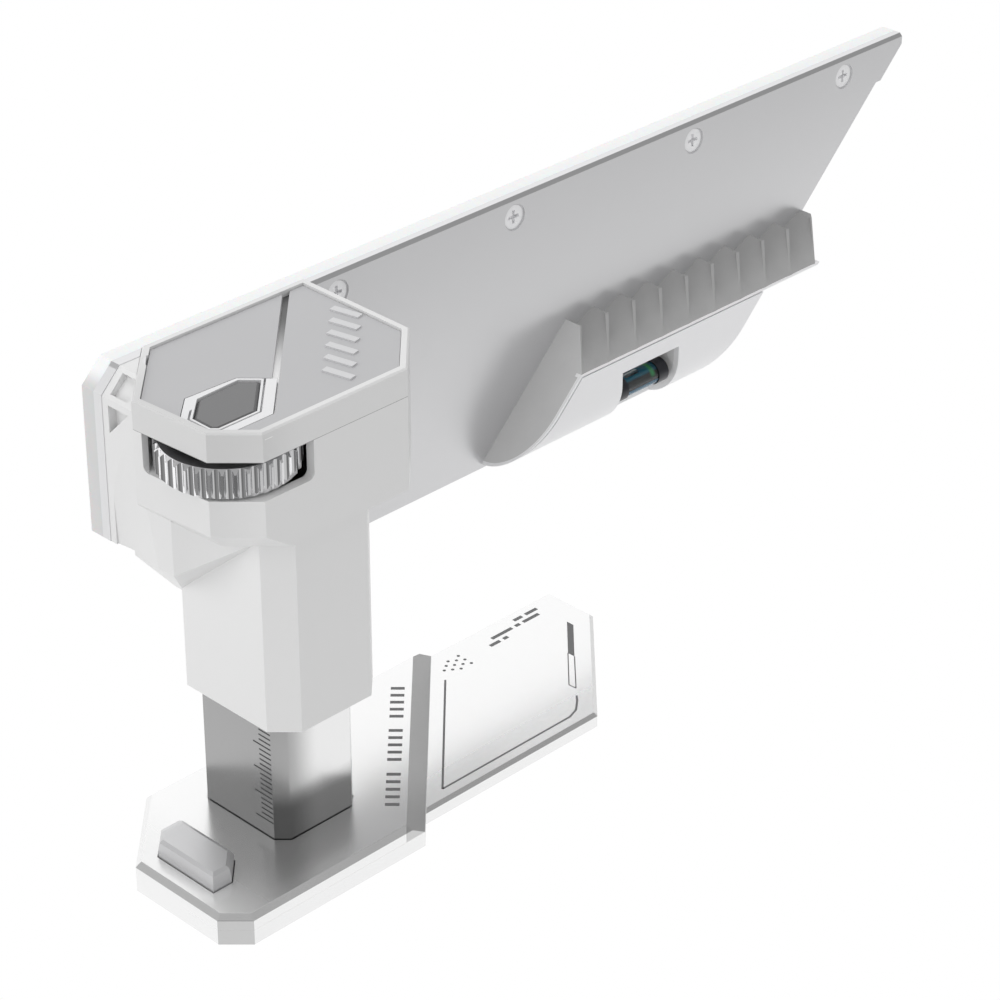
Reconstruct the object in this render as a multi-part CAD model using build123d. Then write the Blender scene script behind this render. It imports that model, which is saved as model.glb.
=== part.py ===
"""Support bracket that holds up the free end of a graphics card.

A thin cast base carries a hollow column. A head slides on the column and carries a long arm, whose
toothed rubber shelf lifts the card. A knurled thumb wheel in the head turns a lead screw through a
pair of gears, and the screw runs in a nut in the column's top, so that the head creeps up and down.

Frame: millimetres, origin on the column's axis at the ground, +X along the arm, +Y to the back of
the arm, +Z up.
"""

from build123d import *
import math
import os

# Clearances
press = 0.05            # screws and pins in their holes, per side
slide_fit = 0.08        # column in its liner, per side
turn_fit = 0.06         # turning shafts in their bores, per side
assembly_gap = 0.1      # between pieces that are laid into each other
overcut = 1.0           # how far a cutting tool reaches past a face

# Screws: head, shank, length, head height and width of the cross
cover_screw_head = 3.4
cover_screw_shank = 2.0
cover_screw_length = 2.8
cover_screw_rise = 0.7
cover_screw_cross = 1.6
column_screw_head = 5.8
column_screw_shank = 3.0
column_screw_rise = 1.6
column_screw_cross = 2.6
bearing_screw_head = 3.6
bearing_screw_shank = 2.0
bearing_screw_length = 6.0
bearing_screw_rise = 0.8
bearing_screw_cross = 1.8
cap_screw_head = 4.6
cap_screw_shank = 2.5
cap_screw_length = 9.0
cap_screw_rise = 1.3
cap_screw_cross = 2.2
cap_screw_edge = 6.0    # head's right side to the cap's right screws
cap_screw_left = -9.0
arm_screw_head = 4.6
arm_screw_shank = 2.4
arm_screw_length = 4.2
arm_screw_rise = 1.2
arm_screw_cross = 2.6
back_screw_head = 5.7
back_screw_shank = 3.0
back_screw_length = 6.5
back_screw_rise = 1.3
back_screw_cross = 2.6

# Heights of the stand
ground_gap = 0.4        # thickness of the rubber feet
base_thickness = 5.8
base_under = ground_gap
base_top = base_under + base_thickness

# Base casting
base_left = -30.15
base_front = -22.4
base_back = 17.3
base_front_cut = 4.2
base_back_cut = 14.4
base_diagonal = 31.2    # x - y along the upper edge of the sloping strip
strip_width = 4.6       # how far x - y grows down the strip
wing_thickness = 2.9
wing_top = base_under + wing_thickness
wing_front = -17.9
wing_right = 85.4
wing_diagonal = 79.1    # x - y along the cut corner
base_chamfer = 1.0
wing_chamfer = 0.7

# Bottom cover, feet and magnets
cover_sheet = 0.8
cover_margin = 2.4
foot_width = 4.5
magnet_diameter = 8.0
magnet_height = 2.5
magnet_places = ((-11.0, -16.4), (10.0, -15.4), (20.5, 6.5))
cover_screw_places = ((-22.8, -16.6), (1.0, -17.6), (26.0, 11.6), (-12.0, 12.2))

# Base button
well_left = -26.5
well_right = -17.8
well_front = -13.0
well_back = 5.9
well_cut = 4.4
button_gap = 0.2
button_rise = 3.3       # crown above the base
button_skirt = 1.2      # straight part above the base
button_travel = 1.5
flange_width = 0.8
flange_height = 1.0
button_chamfer = 0.5
button_lean = 0.4       # how far the crown leans in on its plain sides
button_lean_corner = 1.4
button_lean_back = 2.9
button_spring_radius = 1.9
button_spring_wire = 0.45
button_spring_turns = 5
button_roof = 0.2       # base top down to the spring's seat in the button

# Column
column_x = 18.2
column_y = 21.5
column_chamfer = 2.1
column_wall = 1.6
column_length = 40.6
column_seat = 0.4       # depth of the seat in the base
foot_plate = 4.0
column_screw_y = 5.5

# Lead screw and nut
screw_diameter = 6.0
screw_journal = 5.0
nut_depth = 6.0
nut_flange = 1.0
nut_lip = 0.3           # how far the nut's flange stays inside the column's outline
screw_reach = 23.8      # column's foot plate up to the lead screw's end
screw_tip_bevel = 0.6
collar_height = 1.1
collar_width = 1.4

# Sleeve of the head
sleeve_left = -11.0
sleeve_right = 13.1
sleeve_front = -14.3
sleeve_back = 14.4
sleeve_cut = 4.15
sleeve_bottom = 29.8
liner_wall = 0.6
liner_length = 31.0
liner_seat = 0.6        # sleeve's lower end up to the liner

# Head housing
head_bottom = 66.5
head_top = 83.9
head_left_back = -20.8
head_left_front = -19.6
head_left_split = 8.2
head_front = -14.8
head_right = 28.2
head_front_left_cut = 6.3
head_front_right_cut = 10.2
head_under_chamfer = 3.8

# Rear block that joins the head to the arm
block_left = -17.9
block_front = 3.5
block_pocket = 1.6
block_edge = 1.5        # border left round the pockets
corner_pocket = 1.2
flare_low = 49.1        # lower end of the flare, at the sleeve's back corner
flare_back = 5.2        # arm plate to the flare's back
scoop_radius = 24.6
scoop_depth = 1.2
scoop_lean = -2.2
scoop_length = 60.0
scoop_shift = 2.0       # how far the scoop's axis lies behind the block's middle
scoop_drop = 12.0       # arm's lower edge down to the scoop's middle

# Thumb wheel in its slot
wheel_x = -9.8
wheel_y = -2.0
wheel_radius = 12.1
wheel_bottom = 77.2
wheel_height = 5.5
flute_count = 36
flute_radius = 0.85
wheel_bevel = 0.8
wheel_sink = 0.4        # depth of the sunken top face
wheel_border = 2.4      # width of the raised border round it
wheel_gap = 0.6
slot_floor_gap = 0.3
slot_back = 6.3
slot_right = -2.7
slot_radius = 1.2

# Gears and their bearing plate
gear_teeth = 16
gear_height = 2.0
gear_backlash = 0.25
gear_lift = 0.3         # bearing plate up to the gears
gear_step = 0.6         # how far the journal steps in under its gear
hub_radius = 3.2
plate_bottom = 72.4
plate_height = 2.0
plate_left = -15.8
plate_right = 11.6
plate_front = -12.9
plate_back = 12.9
plate_cut = 5.4
pin_diameter = 3.0

# Cap on the head
cap_height = 5.3
cap_rim = 1.3
inlay_depth = 1.3       # rim top down to the recess floor
inlay_height = 0.8
cap_chamfer = 0.3
groove_left = 1.9       # x - y along the left edge of the groove
groove_right = 3.6
bezel_height = 2.1
bezel_front = -10.4
bezel_band = 0.6        # release button's edge out to the frame's dark channel
bezel_channel = 0.35
channel_depth = 1.1
channel_back = 2.6      # release button's middle back to the channels' ends
release_travel = 1.0
release_gap = 0.2
release_flange = 0.35
release_drop = 0.1      # inlay top down to the button's top
release_chamfer = 0.45
release_roof = 1.1      # inlay top down to the spring's seat in the button
release_x = -10.2
release_y = -2.8
release_spring_radius = 1.5
release_spring_wire = 0.35
release_spring_turns = 3
pocket_floor = 0.8      # metal left under the release button

# Arm plate and rear panel
arm_front = 19.6
plate_thickness = 2.0
panel_thickness = 3.5
arm_left = -18.0
arm_top = 88.8
arm_tip = 186.9
arm_corner_cut = 4.1
arm_low_left = 57.2
arm_bottom = 36.5
arm_diagonal = 98.9     # x - z along the slanted right end
arm_step_diagonal = 100.3
arm_step_drop = 8.3     # arm's top down to the step near its tip
arm_inner_corner = 26.7
arm_chamfer = 0.63
panel_chamfer = 0.5
arm_screw_drop = 4.0    # arm's top down to the screws
arm_screw_places = (34.2, 77.4, 125.3, 169.2)
screw_ring = 5.1
screw_ring_depth = 0.35

# Light board and its socket
board_depth = 2.2
board_thickness = 1.0
board_left = 34.0
board_right = 150.0
board_low = 64.0
board_high = 74.0
light_count = 12
light_size = 2.0
light_height = 0.8
light_margin = 4.0
board_gap = 0.5
channel_width = 4.0     # way for the socket's wires
socket_x = 44.0
socket_width = 8.0
socket_length = 6.0
socket_wall = 0.6
socket_floor = 1.2
contact_pitch = 2.0
contact_width = 0.5

# Shelf
shelf_lip_y = 9.8
shelf_lip_z = 53.6
shelf_land_y = 16.0
shelf_land_z = 59.45
shelf_left_diagonal = 31.4      # x - z along the left end
cover_right_diagonal = 83.1
shelf_bottom = 37.4
shelf_shell = 1.2
lip_height = 0.5
trim_depth = 0.5        # thickness of the bright trim at the shelf's left end
seam = 0.3
tooth_count = 9
tooth_pitch = 7.35
tooth_depth_low = 0.15
tooth_depth_high = 9.5  # the scoops run out at the arm plate
tooth_land = 1.45
tooth_shoulder = 0.14   # share of a scoop's width taken by each rounded side
end_bevel = 1.1         # bevel at the pad's right end
shelf_screw_edge = 5.6  # slanted end to a shelf screw, along x
shelf_screw_far = 8.1

# Spirit level
window_left = 96.2
window_right = 111.7
window_top = 49.8
window_depth = 7.4
vial_radius = 2.4
vial_wall = 0.5
vial_y = 13.1
vial_z = 44.5
vial_left = 96.6
vial_right = 110.0
vial_band = 2.6
vial_play = 0.2         # sleeve wall round the tube
vial_plug = 1.0
saddle_height = 2.8
bubble_radius = 0.75
bubble_length = 3.0
bubble_rise = 1.15

# Heights that follow
head_back = arm_front
panel_front = arm_front + plate_thickness
panel_back = panel_front + panel_thickness
column_bottom = base_top - column_seat
column_top = column_bottom + column_length
nut_top = column_top + nut_flange
cap_bottom = head_top
cap_top = cap_bottom + cap_height
recess_floor = cap_top - inlay_depth
inlay_top = recess_floor + inlay_height
bezel_bottom = inlay_top - bezel_height
plate_top = plate_bottom + plate_height
gear_bottom = plate_top + gear_lift
gear_top = gear_bottom + gear_height
cover_top = base_under + cover_sheet
release_floor = cap_bottom + pocket_floor
arm_step_height = arm_top - arm_step_drop
arm_screw_height = arm_top - arm_screw_drop
button_flange_bottom = cover_top + button_travel + button_gap
trim_bottom = shelf_lip_z - lip_height
seat_top = trim_bottom - seam
centre_distance = math.hypot(wheel_x, wheel_y)
gear_module = centre_distance / gear_teeth


def prism(points, bottom, top):
    """Upright prism over an outline in x and y."""
    face = make_face(Polyline([(x, y, bottom) for x, y in points], close=True))
    return extrude(face, amount=top - bottom, dir=(0, 0, 1))


def side_prism(points, front, back):
    """Prism along y over an outline in x and z."""
    face = make_face(Polyline([(x, front, z) for x, z in points], close=True))
    return extrude(face, amount=back - front, dir=(0, 1, 0))


def cross_prism(points, left, right):
    """Prism along x over an outline in y and z."""
    face = make_face(Polyline([(left, y, z) for y, z in points], close=True))
    return extrude(face, amount=right - left, dir=(1, 0, 0))


def block(x0, x1, y0, y1, z0, z1):
    """Box between three pairs of limits."""
    return Pos(x0, y0, z0) * Box(x1 - x0, y1 - y0, z1 - z0, align=(Align.MIN,) * 3)


def rod(x, y, bottom, top, radius):
    """Upright cylinder."""
    return Pos(x, y, bottom) * Cylinder(radius, top - bottom, align=(Align.CENTER, Align.CENTER, Align.MIN))


def inset(points, distances):
    """Outline whose edge i is moved inward by distances[i]; the points run counter-clockwise."""
    count = len(points)
    if not isinstance(distances, (list, tuple)):
        distances = [distances] * count
    lines = []
    for index in range(count):
        (x0, y0), (x1, y1) = points[index], points[(index + 1) % count]
        length = math.hypot(x1 - x0, y1 - y0)
        ux, uy = (x1 - x0) / length, (y1 - y0) / length
        lines.append((x0 - uy * distances[index], y0 + ux * distances[index], ux, uy))
    corners = []
    for index in range(count):
        ax, ay, ux, uy = lines[index - 1]
        bx, by, vx, vy = lines[index]
        step = ((bx - ax) * vy - (by - ay) * vx) / (ux * vy - uy * vx)
        corners.append((ax + ux * step, ay + uy * step))
    return corners


def cut_rectangle(x0, x1, y0, y1, front_left, front_right, back_right, back_left):
    """Counter-clockwise rectangle with a 45 degree cut on each corner that is above zero."""
    corners = []
    for x, y, cut, first, second in (
        (x0, y0, front_left, (0, 1), (1, 0)),
        (x1, y0, front_right, (-1, 0), (0, 1)),
        (x1, y1, back_right, (0, -1), (-1, 0)),
        (x0, y1, back_left, (1, 0), (0, -1)),
    ):
        if cut > 0:
            corners.append((x + first[0] * cut, y + first[1] * cut))
            corners.append((x + second[0] * cut, y + second[1] * cut))
        else:
            corners.append((x, y))
    return corners


def on_diagonal(solid, offset, keep_low, along_y=False):
    """Part of a solid on one side of the plane x - z = offset, or x - y = offset."""
    normal = (1, -1, 0) if along_y else (1, 0, -1)
    plane = Plane(origin=(offset, 0, 0), z_dir=normal)
    return split(solid, bisect_by=plane, keep=Keep.BOTTOM if keep_low else Keep.TOP)


def screw(head_diameter, shank_diameter, length, head_height, drive):
    """Countersunk cross-head screw; its head's face is at the origin and it points down."""
    head = head_diameter / 2
    shank = shank_diameter / 2
    profile = Polyline((0, 0), (head, 0), (shank, -head_height), (shank, -length), (0, -length), close=True)
    body = revolve(Plane.XZ * make_face(profile), Axis.Z)
    slot = Box(drive, drive / 4, head_height * 0.7)
    return body - Pos(0, 0, -head_height * 0.35) * (slot + Rot(0, 0, 90) * slot)


def screw_hole(head_diameter, shank_diameter, length, head_height):
    """The space a countersunk screw needs, with its clearance."""
    head = head_diameter / 2 + press
    shank = shank_diameter / 2 + press
    above = head_height
    profile = Polyline(
        (0, above), (head, above), (head, 0), (shank, -head_height), (shank, -length), (0, -length),
        close=True,
    )
    return revolve(Plane.XZ * make_face(profile), Axis.Z)


def spring(x, y, bottom, top, radius, wire, turns):
    """Compression spring with open ends."""
    height = top - bottom - wire
    path = Helix(height / turns, height, radius)
    section = Plane(origin=path @ 0, z_dir=path % 0) * Circle(wire / 2)
    return Pos(x, y, bottom + wire / 2) * sweep(section, path=path)


def involute_gear(bottom, top, bore, turn):
    """Spur gear with involute flanks; turn puts the middle of its first tooth at that angle."""
    pitch_radius = gear_teeth * gear_module / 2
    base_radius = pitch_radius * math.cos(math.radians(20))
    outer_radius = pitch_radius + 0.9 * gear_module
    root_radius = pitch_radius - 1.2 * gear_module
    half_tooth = math.pi / (2 * gear_teeth) - gear_backlash / (4 * pitch_radius)

    def flank_angle(radius):
        """Half the tooth's angular width at a radius."""
        roll = math.sqrt(max((radius / base_radius) ** 2 - 1, 0))
        pitch_roll = math.tan(math.radians(20))
        widen = (pitch_roll - math.radians(20)) - (roll - math.atan(roll))
        return half_tooth + widen

    start = max(base_radius, root_radius)
    radii = [start + (outer_radius - start) * step / 3 for step in range(4)]
    points = []
    for tooth in range(gear_teeth):
        middle = math.radians(turn) + tooth * 2 * math.pi / gear_teeth
        rising = [(root_radius, -flank_angle(start))] + [(r, -flank_angle(r)) for r in radii]
        falling = [(r, -angle) for r, angle in reversed(rising)]
        for radius, angle in rising + falling:
            points.append((radius * math.cos(middle + angle), radius * math.sin(middle + angle)))
    gear = prism(points, bottom, top)
    return gear - rod(0, 0, bottom - 1, top + 1, bore)


def base_outline():
    """Main part of the base, up to the foot of its sloping strip."""
    foot = base_diagonal + strip_width
    return [
        (base_left, base_front + base_front_cut),
        (base_left + base_front_cut, base_front),
        (foot + base_front, base_front),
        (foot + base_back, base_back),
        (base_left + base_back_cut, base_back),
        (base_left, base_back - base_back_cut),
    ]


def well_outline(margin=0.0):
    """Outline of the base button's well, grown by a margin."""
    outline = cut_rectangle(well_left, well_right, well_front, well_back, 0, well_cut, 0, well_cut)
    return inset(outline, -margin)


def column_outline(margin=0.0):
    """Outline of the column, grown by a margin."""
    x, y = column_x / 2, column_y / 2
    return inset(cut_rectangle(-x, x, -y, y, *(column_chamfer,) * 4), -margin)


def cover_outline(margin=0.0):
    """Outline of the sheet that closes the base from below."""
    return inset(base_outline(), cover_margin + margin)


def base_plate():
    """Cast base with its thin wing, the button's well and the seats underneath."""
    main = prism(base_outline(), base_under, base_top)
    rim = sorted(main.edges().group_by(Axis.Z)[-1], key=lambda edge: edge.center().X - edge.center().Y)
    main = chamfer(rim[:-1], base_chamfer)
    drop = base_top - wing_top
    slope = math.hypot(strip_width / math.sqrt(2), drop)
    strip = Plane(
        origin=(base_diagonal, 0, base_top),
        z_dir=(drop / slope / math.sqrt(2), -drop / slope / math.sqrt(2), strip_width / math.sqrt(2) / slope),
    )
    main = split(main, bisect_by=strip, keep=Keep.BOTTOM)

    root = base_diagonal
    wing = prism(
        [
            (root + wing_front, wing_front),
            (wing_diagonal + wing_front, wing_front),
            (wing_right, wing_right - wing_diagonal),
            (wing_right, base_back),
            (root + base_back, base_back),
        ],
        base_under,
        wing_top,
    )
    rim = sorted(wing.edges().group_by(Axis.Z)[-1], key=lambda edge: edge.center().X - edge.center().Y)
    wing = chamfer(rim[2:], wing_chamfer)
    body = main + wing

    ledge = button_flange_bottom + flange_height + assembly_gap
    body -= prism(well_outline(), base_under, base_top + overcut)
    body -= prism(well_outline(flange_width + assembly_gap), base_under, ledge)
    body -= prism(cover_outline(-assembly_gap), base_under - overcut, cover_top)
    body -= prism(column_outline(assembly_gap * 2), column_bottom, base_top + overcut)
    for x, y in magnet_places:
        body -= rod(x, y, base_under, cover_top + magnet_height, magnet_diameter / 2 + press)
    for y in (-column_screw_y, column_screw_y):
        hole = screw_hole(column_screw_head, column_screw_shank, base_thickness * 2, column_screw_rise)
        body -= Pos(0, y, cover_top + assembly_gap) * Rot(180, 0, 0) * hole
    for x, y in cover_screw_places:
        body -= rod(x, y, base_under, base_under + cover_screw_length + assembly_gap * 2,
                    cover_screw_shank / 2 + press)
    return body


def bottom_cover():
    """Steel sheet under the base, with countersunk holes."""
    sheet = prism(cover_outline(), base_under, cover_top)
    for x, y in cover_screw_places:
        sheet -= Pos(x, y, base_under) * Rot(180, 0, 0) * screw_hole(
            cover_screw_head, cover_screw_shank, cover_screw_length, cover_screw_rise)
    return sheet


def cover_screws():
    """Countersunk screws of the bottom sheet."""
    piece = Rot(180, 0, 0) * screw(
        cover_screw_head, cover_screw_shank, cover_screw_length, cover_screw_rise, cover_screw_cross)
    return [Pos(x, y, base_under) * piece for x, y in cover_screw_places]


def base_magnets():
    """Disc magnets above the bottom sheet."""
    return [rod(x, y, cover_top, cover_top + magnet_height, magnet_diameter / 2) for x, y in magnet_places]


def foot_pads():
    """Rubber strips under the base and the wing."""
    def strip(x0, x1, y0, y1):
        """Strip with round ends."""
        pad = block(x0, x1, y0, y1, 0, ground_gap)
        return fillet(pad.edges().filter_by(Axis.Z), foot_width * 0.3)

    front = base_front + base_chamfer + 0.4
    back = base_back - base_chamfer - 0.4
    left = base_left + base_back_cut + 2
    return [
        strip(base_left + base_front_cut + 2, base_diagonal + base_front - 2, front, front + foot_width),
        strip(left, base_diagonal + base_back - foot_width, back - foot_width, back),
        strip(wing_right - 2 - foot_width, wing_right - 2, wing_right - wing_diagonal, back),
        strip(base_diagonal + base_front + 14, wing_diagonal + wing_front, wing_front + 1,
              wing_front + 1 + foot_width),
    ]


def base_button():
    """Locking button of the base: a flanged prism with a crown that narrows to the right and back."""
    foot = well_outline(-button_gap)
    skirt_top = base_top + button_skirt
    crown_top = base_top + button_rise
    body = prism(well_outline(flange_width), button_flange_bottom, button_flange_bottom + flange_height)
    body += prism(foot, button_flange_bottom, skirt_top)
    leans = [button_lean] * len(foot)
    leans[2], leans[3] = button_lean_corner, button_lean_back
    top = inset(foot, leans)
    lower = make_face(Polyline([(x, y, skirt_top) for x, y in foot], close=True))
    upper = make_face(Polyline([(x, y, crown_top) for x, y in top], close=True))
    crown = loft([lower, upper], ruled=True)
    crown = chamfer(crown.edges().group_by(Axis.Z)[-1], button_chamfer)
    body += crown
    x, y = spring_place()
    return body - rod(x, y, button_flange_bottom - overcut, base_top - button_roof,
                      button_spring_radius + button_spring_wire)


def spring_place():
    """Middle of the base button's well."""
    return (well_left + well_right) / 2, (well_front + well_back) / 2


def button_spring():
    """Spring between the bottom sheet and the base button."""
    x, y = spring_place()
    return spring(x, y, cover_top, base_top - button_roof, button_spring_radius, button_spring_wire,
                  button_spring_turns)


def column():
    """Hollow column with a closed foot and two tapped holes."""
    body = prism(column_outline(), column_bottom, column_top)
    body -= prism(column_outline(-column_wall), column_bottom + foot_plate, column_top + overcut)
    for y in (-column_screw_y, column_screw_y):
        body -= rod(0, y, column_bottom - overcut, column_bottom + foot_plate + overcut,
                    column_screw_shank / 2 + press)
    return body


def column_screws():
    """Screws that pull the column's foot onto the base."""
    length = column_bottom + foot_plate - cover_top - screw_tip_bevel
    piece = Rot(180, 0, 0) * screw(
        column_screw_head, column_screw_shank, length, column_screw_rise, column_screw_cross)
    return [Pos(0, y, cover_top + assembly_gap) * piece for y in (-column_screw_y, column_screw_y)]


def lead_nut():
    """Nut that plugs the column's top."""
    body = prism(column_outline(-column_wall - press), column_top - nut_depth, column_top)
    body += prism(column_outline(-nut_lip), column_top, nut_top)
    bore = screw_diameter / 2 + turn_fit
    return body - rod(0, 0, column_top - nut_depth - overcut, nut_top + overcut, bore)


def head_outline():
    """Outline of the head and of its cap, counter-clockwise from the left corner at the back."""
    front_left = head_front + head_front_left_cut
    return [
        (head_left_back, head_left_split),
        (head_left_front, front_left),
        (head_left_front + head_front_left_cut, head_front),
        (head_right - head_front_right_cut, head_front),
        (head_right, head_front + head_front_right_cut),
        (head_right, panel_front),
        (head_left_back + panel_front - head_left_split, panel_front),
    ]


def housing_outline():
    """Outline of the housing under the cap, which ends at the arm plate."""
    outline = head_outline()
    back_left = (outline[0][0] + head_back - head_left_split, head_back)
    return outline[:5] + [(head_right, head_back), back_left]


def sleeve_outline():
    """Outline of the sleeve round the column."""
    return cut_rectangle(sleeve_left, sleeve_right, sleeve_front, sleeve_back, *(sleeve_cut,) * 4)


def plate_outline(margin=0.0):
    """Outline of the bearing plate under the gears."""
    return inset(cut_rectangle(plate_left, plate_right, plate_front, plate_back, plate_cut, 0, 0, 0), -margin)


def plate_screw_places():
    """The bearing plate's two screws, on its ledges at the back."""
    return [(plate_left + 2.6, plate_back - 2.4), (plate_left + 3.2, plate_front + 6.0)]


def rear_block():
    """Block between the sleeve and the arm, with its end face and the flare down to the sleeve."""
    body = side_prism(
        [
            (block_left, arm_low_left),
            (sleeve_right, arm_low_left),
            (sleeve_right, head_top),
            (head_left_back + head_back - head_left_split, arm_top - assembly_gap),
            (block_left + arm_corner_cut, arm_top - assembly_gap),
            (block_left, arm_top - assembly_gap - arm_corner_cut),
        ],
        block_front,
        head_back,
    )
    body -= prism(inset(head_outline(), -assembly_gap), head_top, cap_top + overcut)

    # The flare: three slanted planes between the end face and the sleeve's left face.
    corner_front = (sleeve_left, sleeve_front + sleeve_cut)
    corner_back = (sleeve_left, sleeve_back - sleeve_cut)
    flare = prism(
        [
            (block_left, block_front),
            corner_front,
            (sleeve_left + 2, sleeve_front + sleeve_cut),
            (sleeve_left + 2, head_back - flare_back),
            (sleeve_left, head_back - flare_back),
            (block_left, head_back - flare_back),
        ],
        flare_low - 5,
        head_bottom + overcut,
    )
    left_edge = Vector(block_left, block_front, arm_low_left)
    front_edge = Vector(corner_front[0], corner_front[1], head_bottom)
    back_edge = Vector(corner_back[0], corner_back[1], flare_low)
    normal = (front_edge - left_edge).cross(back_edge - left_edge).normalized()
    flare = split(flare, bisect_by=Plane(origin=left_edge, z_dir=normal), keep=Keep.TOP)
    level_edge = Vector(block_left, head_back, arm_low_left)
    normal = (back_edge - left_edge).cross(level_edge - left_edge).normalized()
    flare = split(flare, bisect_by=Plane(origin=left_edge, z_dir=normal), keep=Keep.TOP)
    body += flare
    return body


def end_pockets():
    """Sunken pockets in the rear block's end face and corner, and the shallow scoop below them."""
    edge = head_back - block_edge
    high = arm_top - assembly_gap - arm_corner_cut - block_edge * 0.8
    side = (edge - block_front) * 0.35
    triangle = cross_prism([(edge, high), (edge - side, high), (edge, high - side)],
                           block_left - 1, block_left + block_pocket)
    slant = Plane(
        origin=(block_left + arm_corner_cut / 2, head_back, arm_top - assembly_gap - arm_corner_cut / 2),
        x_dir=(0, -1, 0),
        z_dir=(-1, 0, 1),
    )
    reach = arm_corner_cut / math.sqrt(2) - block_edge * 0.6
    short = block_edge + reach * 2.1
    window = make_face(slant * Polyline(
        (block_edge, -reach), (short, -reach), (short + reach, reach), (block_edge, reach), close=True))
    corner = extrude(window, amount=-corner_pocket, dir=slant.z_dir)
    corner += extrude(window, amount=overcut, dir=slant.z_dir)
    middle = Pos(
        block_left + scoop_depth - scoop_radius,
        (block_front + head_back) / 2 + scoop_shift,
        arm_low_left - scoop_drop,
    )
    scoop = middle * Rot(0, scoop_lean, 0) * Cylinder(scoop_radius, scoop_length)
    return triangle, corner, scoop


def slot_space():
    """Space of the finger slot round the thumb wheel, with rounded lower ends."""
    floor = wheel_bottom - slot_floor_gap
    wedge = prism(
        [(head_left_back - 6, slot_back), (head_left_back - 6, head_front - 6), (slot_right, head_front - 6),
         (slot_right, wheel_y), (wheel_x, slot_back)],
        floor,
        head_top + overcut,
    )
    ends = [
        edge for edge in wedge.edges().group_by(Axis.Z)[0]
        if math.isclose(edge.center().Y, slot_back) or math.isclose(edge.center().X, slot_right)
    ]
    wedge = fillet(ends, slot_radius)
    return wedge + rod(wheel_x, wheel_y, floor, head_top + overcut, wheel_radius + wheel_gap)


def head_housing():
    """Cast head: gear chamber and wheel slot on top, sleeve below, rear block at the back."""
    outline = housing_outline()
    shoulder = head_bottom + head_under_chamfer
    body = prism(outline, shoulder, head_top)
    drawn_in = inset(outline, [head_under_chamfer, head_under_chamfer, 0, 0, 0, 0, 0])
    upper = make_face(Polyline([(x, y, shoulder) for x, y in outline], close=True))
    lower = make_face(Polyline([(x, y, head_bottom) for x, y in drawn_in], close=True))
    body += loft([lower, upper], ruled=True)
    body += prism(sleeve_outline(), sleeve_bottom, shoulder)
    body += rear_block()
    triangle, corner, scoop = end_pockets()
    end_zone = block(block_left - overcut, block_left + scoop_depth, block_front + block_edge,
                     head_back - block_edge, arm_low_left - overcut, wheel_bottom)
    body -= triangle
    body -= corner
    body -= scoop & end_zone

    bore = column_outline(slide_fit + liner_wall)
    body -= prism(bore, sleeve_bottom - overcut, plate_bottom + overcut)
    body -= prism(plate_outline(assembly_gap), plate_bottom, head_top + overcut)
    body -= slot_space()
    for x, y in plate_screw_places():
        body -= rod(x, y, plate_top - bearing_screw_length - overcut, plate_bottom + overcut,
                    bearing_screw_shank / 2 + press)
    for x, y in cap_screw_places():
        body -= rod(x, y, recess_floor - cap_screw_length - overcut, head_top + overcut,
                    cap_screw_shank / 2 + press)
    for x, z in mount_screw_places():
        body -= back_screw_core(x, z)
    return body


def slide_liner():
    """Plastic liner of the sleeve, in which the column runs."""
    low = sleeve_bottom + liner_seat
    outer = prism(column_outline(slide_fit + liner_wall - press / 2), low, low + liner_length)
    return outer - prism(column_outline(slide_fit), low - overcut, low + liner_length + overcut)


def bearing_plate():
    """Plate that carries the lead screw and the wheel's pin."""
    body = prism(plate_outline(), plate_bottom, plate_top)
    body -= rod(0, 0, plate_bottom - overcut, plate_top + overcut, screw_journal / 2 + turn_fit)
    body -= rod(wheel_x, wheel_y, plate_bottom - overcut, plate_top + overcut, pin_diameter / 2)
    for x, y in plate_screw_places():
        body -= Pos(x, y, plate_top) * screw_hole(
            bearing_screw_head, bearing_screw_shank, bearing_screw_length, bearing_screw_rise)
    return body


def bearing_screws():
    """Screws of the bearing plate."""
    piece = screw(bearing_screw_head, bearing_screw_shank, bearing_screw_length, bearing_screw_rise,
                  bearing_screw_cross)
    return [Pos(x, y, plate_top) * piece for x, y in plate_screw_places()]


def wheel_pin():
    """Fixed pin on which the thumb wheel turns."""
    return rod(wheel_x, wheel_y, plate_bottom, head_top, pin_diameter / 2)


def thumb_wheel():
    """Knurled wheel: half-round flutes, bevelled rims and a sunken face."""
    radius = wheel_radius
    bore = pin_diameter / 2 + turn_fit
    profile = Polyline(
        (bore, 0),
        (radius - wheel_bevel, 0),
        (radius, wheel_bevel),
        (radius, wheel_height - wheel_bevel),
        (radius - wheel_bevel, wheel_height),
        (radius - wheel_border, wheel_height),
        (radius - wheel_border - wheel_sink, wheel_height - wheel_sink),
        (bore, wheel_height - wheel_sink),
        close=True,
    )
    body = revolve(Plane.XZ * make_face(profile), Axis.Z)
    flute = Pos(radius + flute_radius / 10, 0, wheel_height / 2) * Cylinder(flute_radius, wheel_height * 2)
    step = 360 / flute_count
    body -= [Rot(0, 0, index * step) * flute for index in range(flute_count)]
    return Pos(wheel_x, wheel_y, wheel_bottom) * body


def gear_angle():
    """Direction from the lead screw to the thumb wheel."""
    return math.degrees(math.atan2(wheel_y, wheel_x))


def wheel_gear():
    """Gear under the thumb wheel, with a gap towards the lead screw."""
    turn = gear_angle() + 180 + 180 / gear_teeth
    gear = involute_gear(gear_bottom, gear_top, pin_diameter / 2 + turn_fit, turn)
    bore = rod(0, 0, gear_bottom - overcut, wheel_bottom + overcut, pin_diameter / 2 + turn_fit)
    hub = rod(0, 0, gear_top, wheel_bottom, hub_radius) - bore
    return Pos(wheel_x, wheel_y, 0) * (gear + hub)


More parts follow.
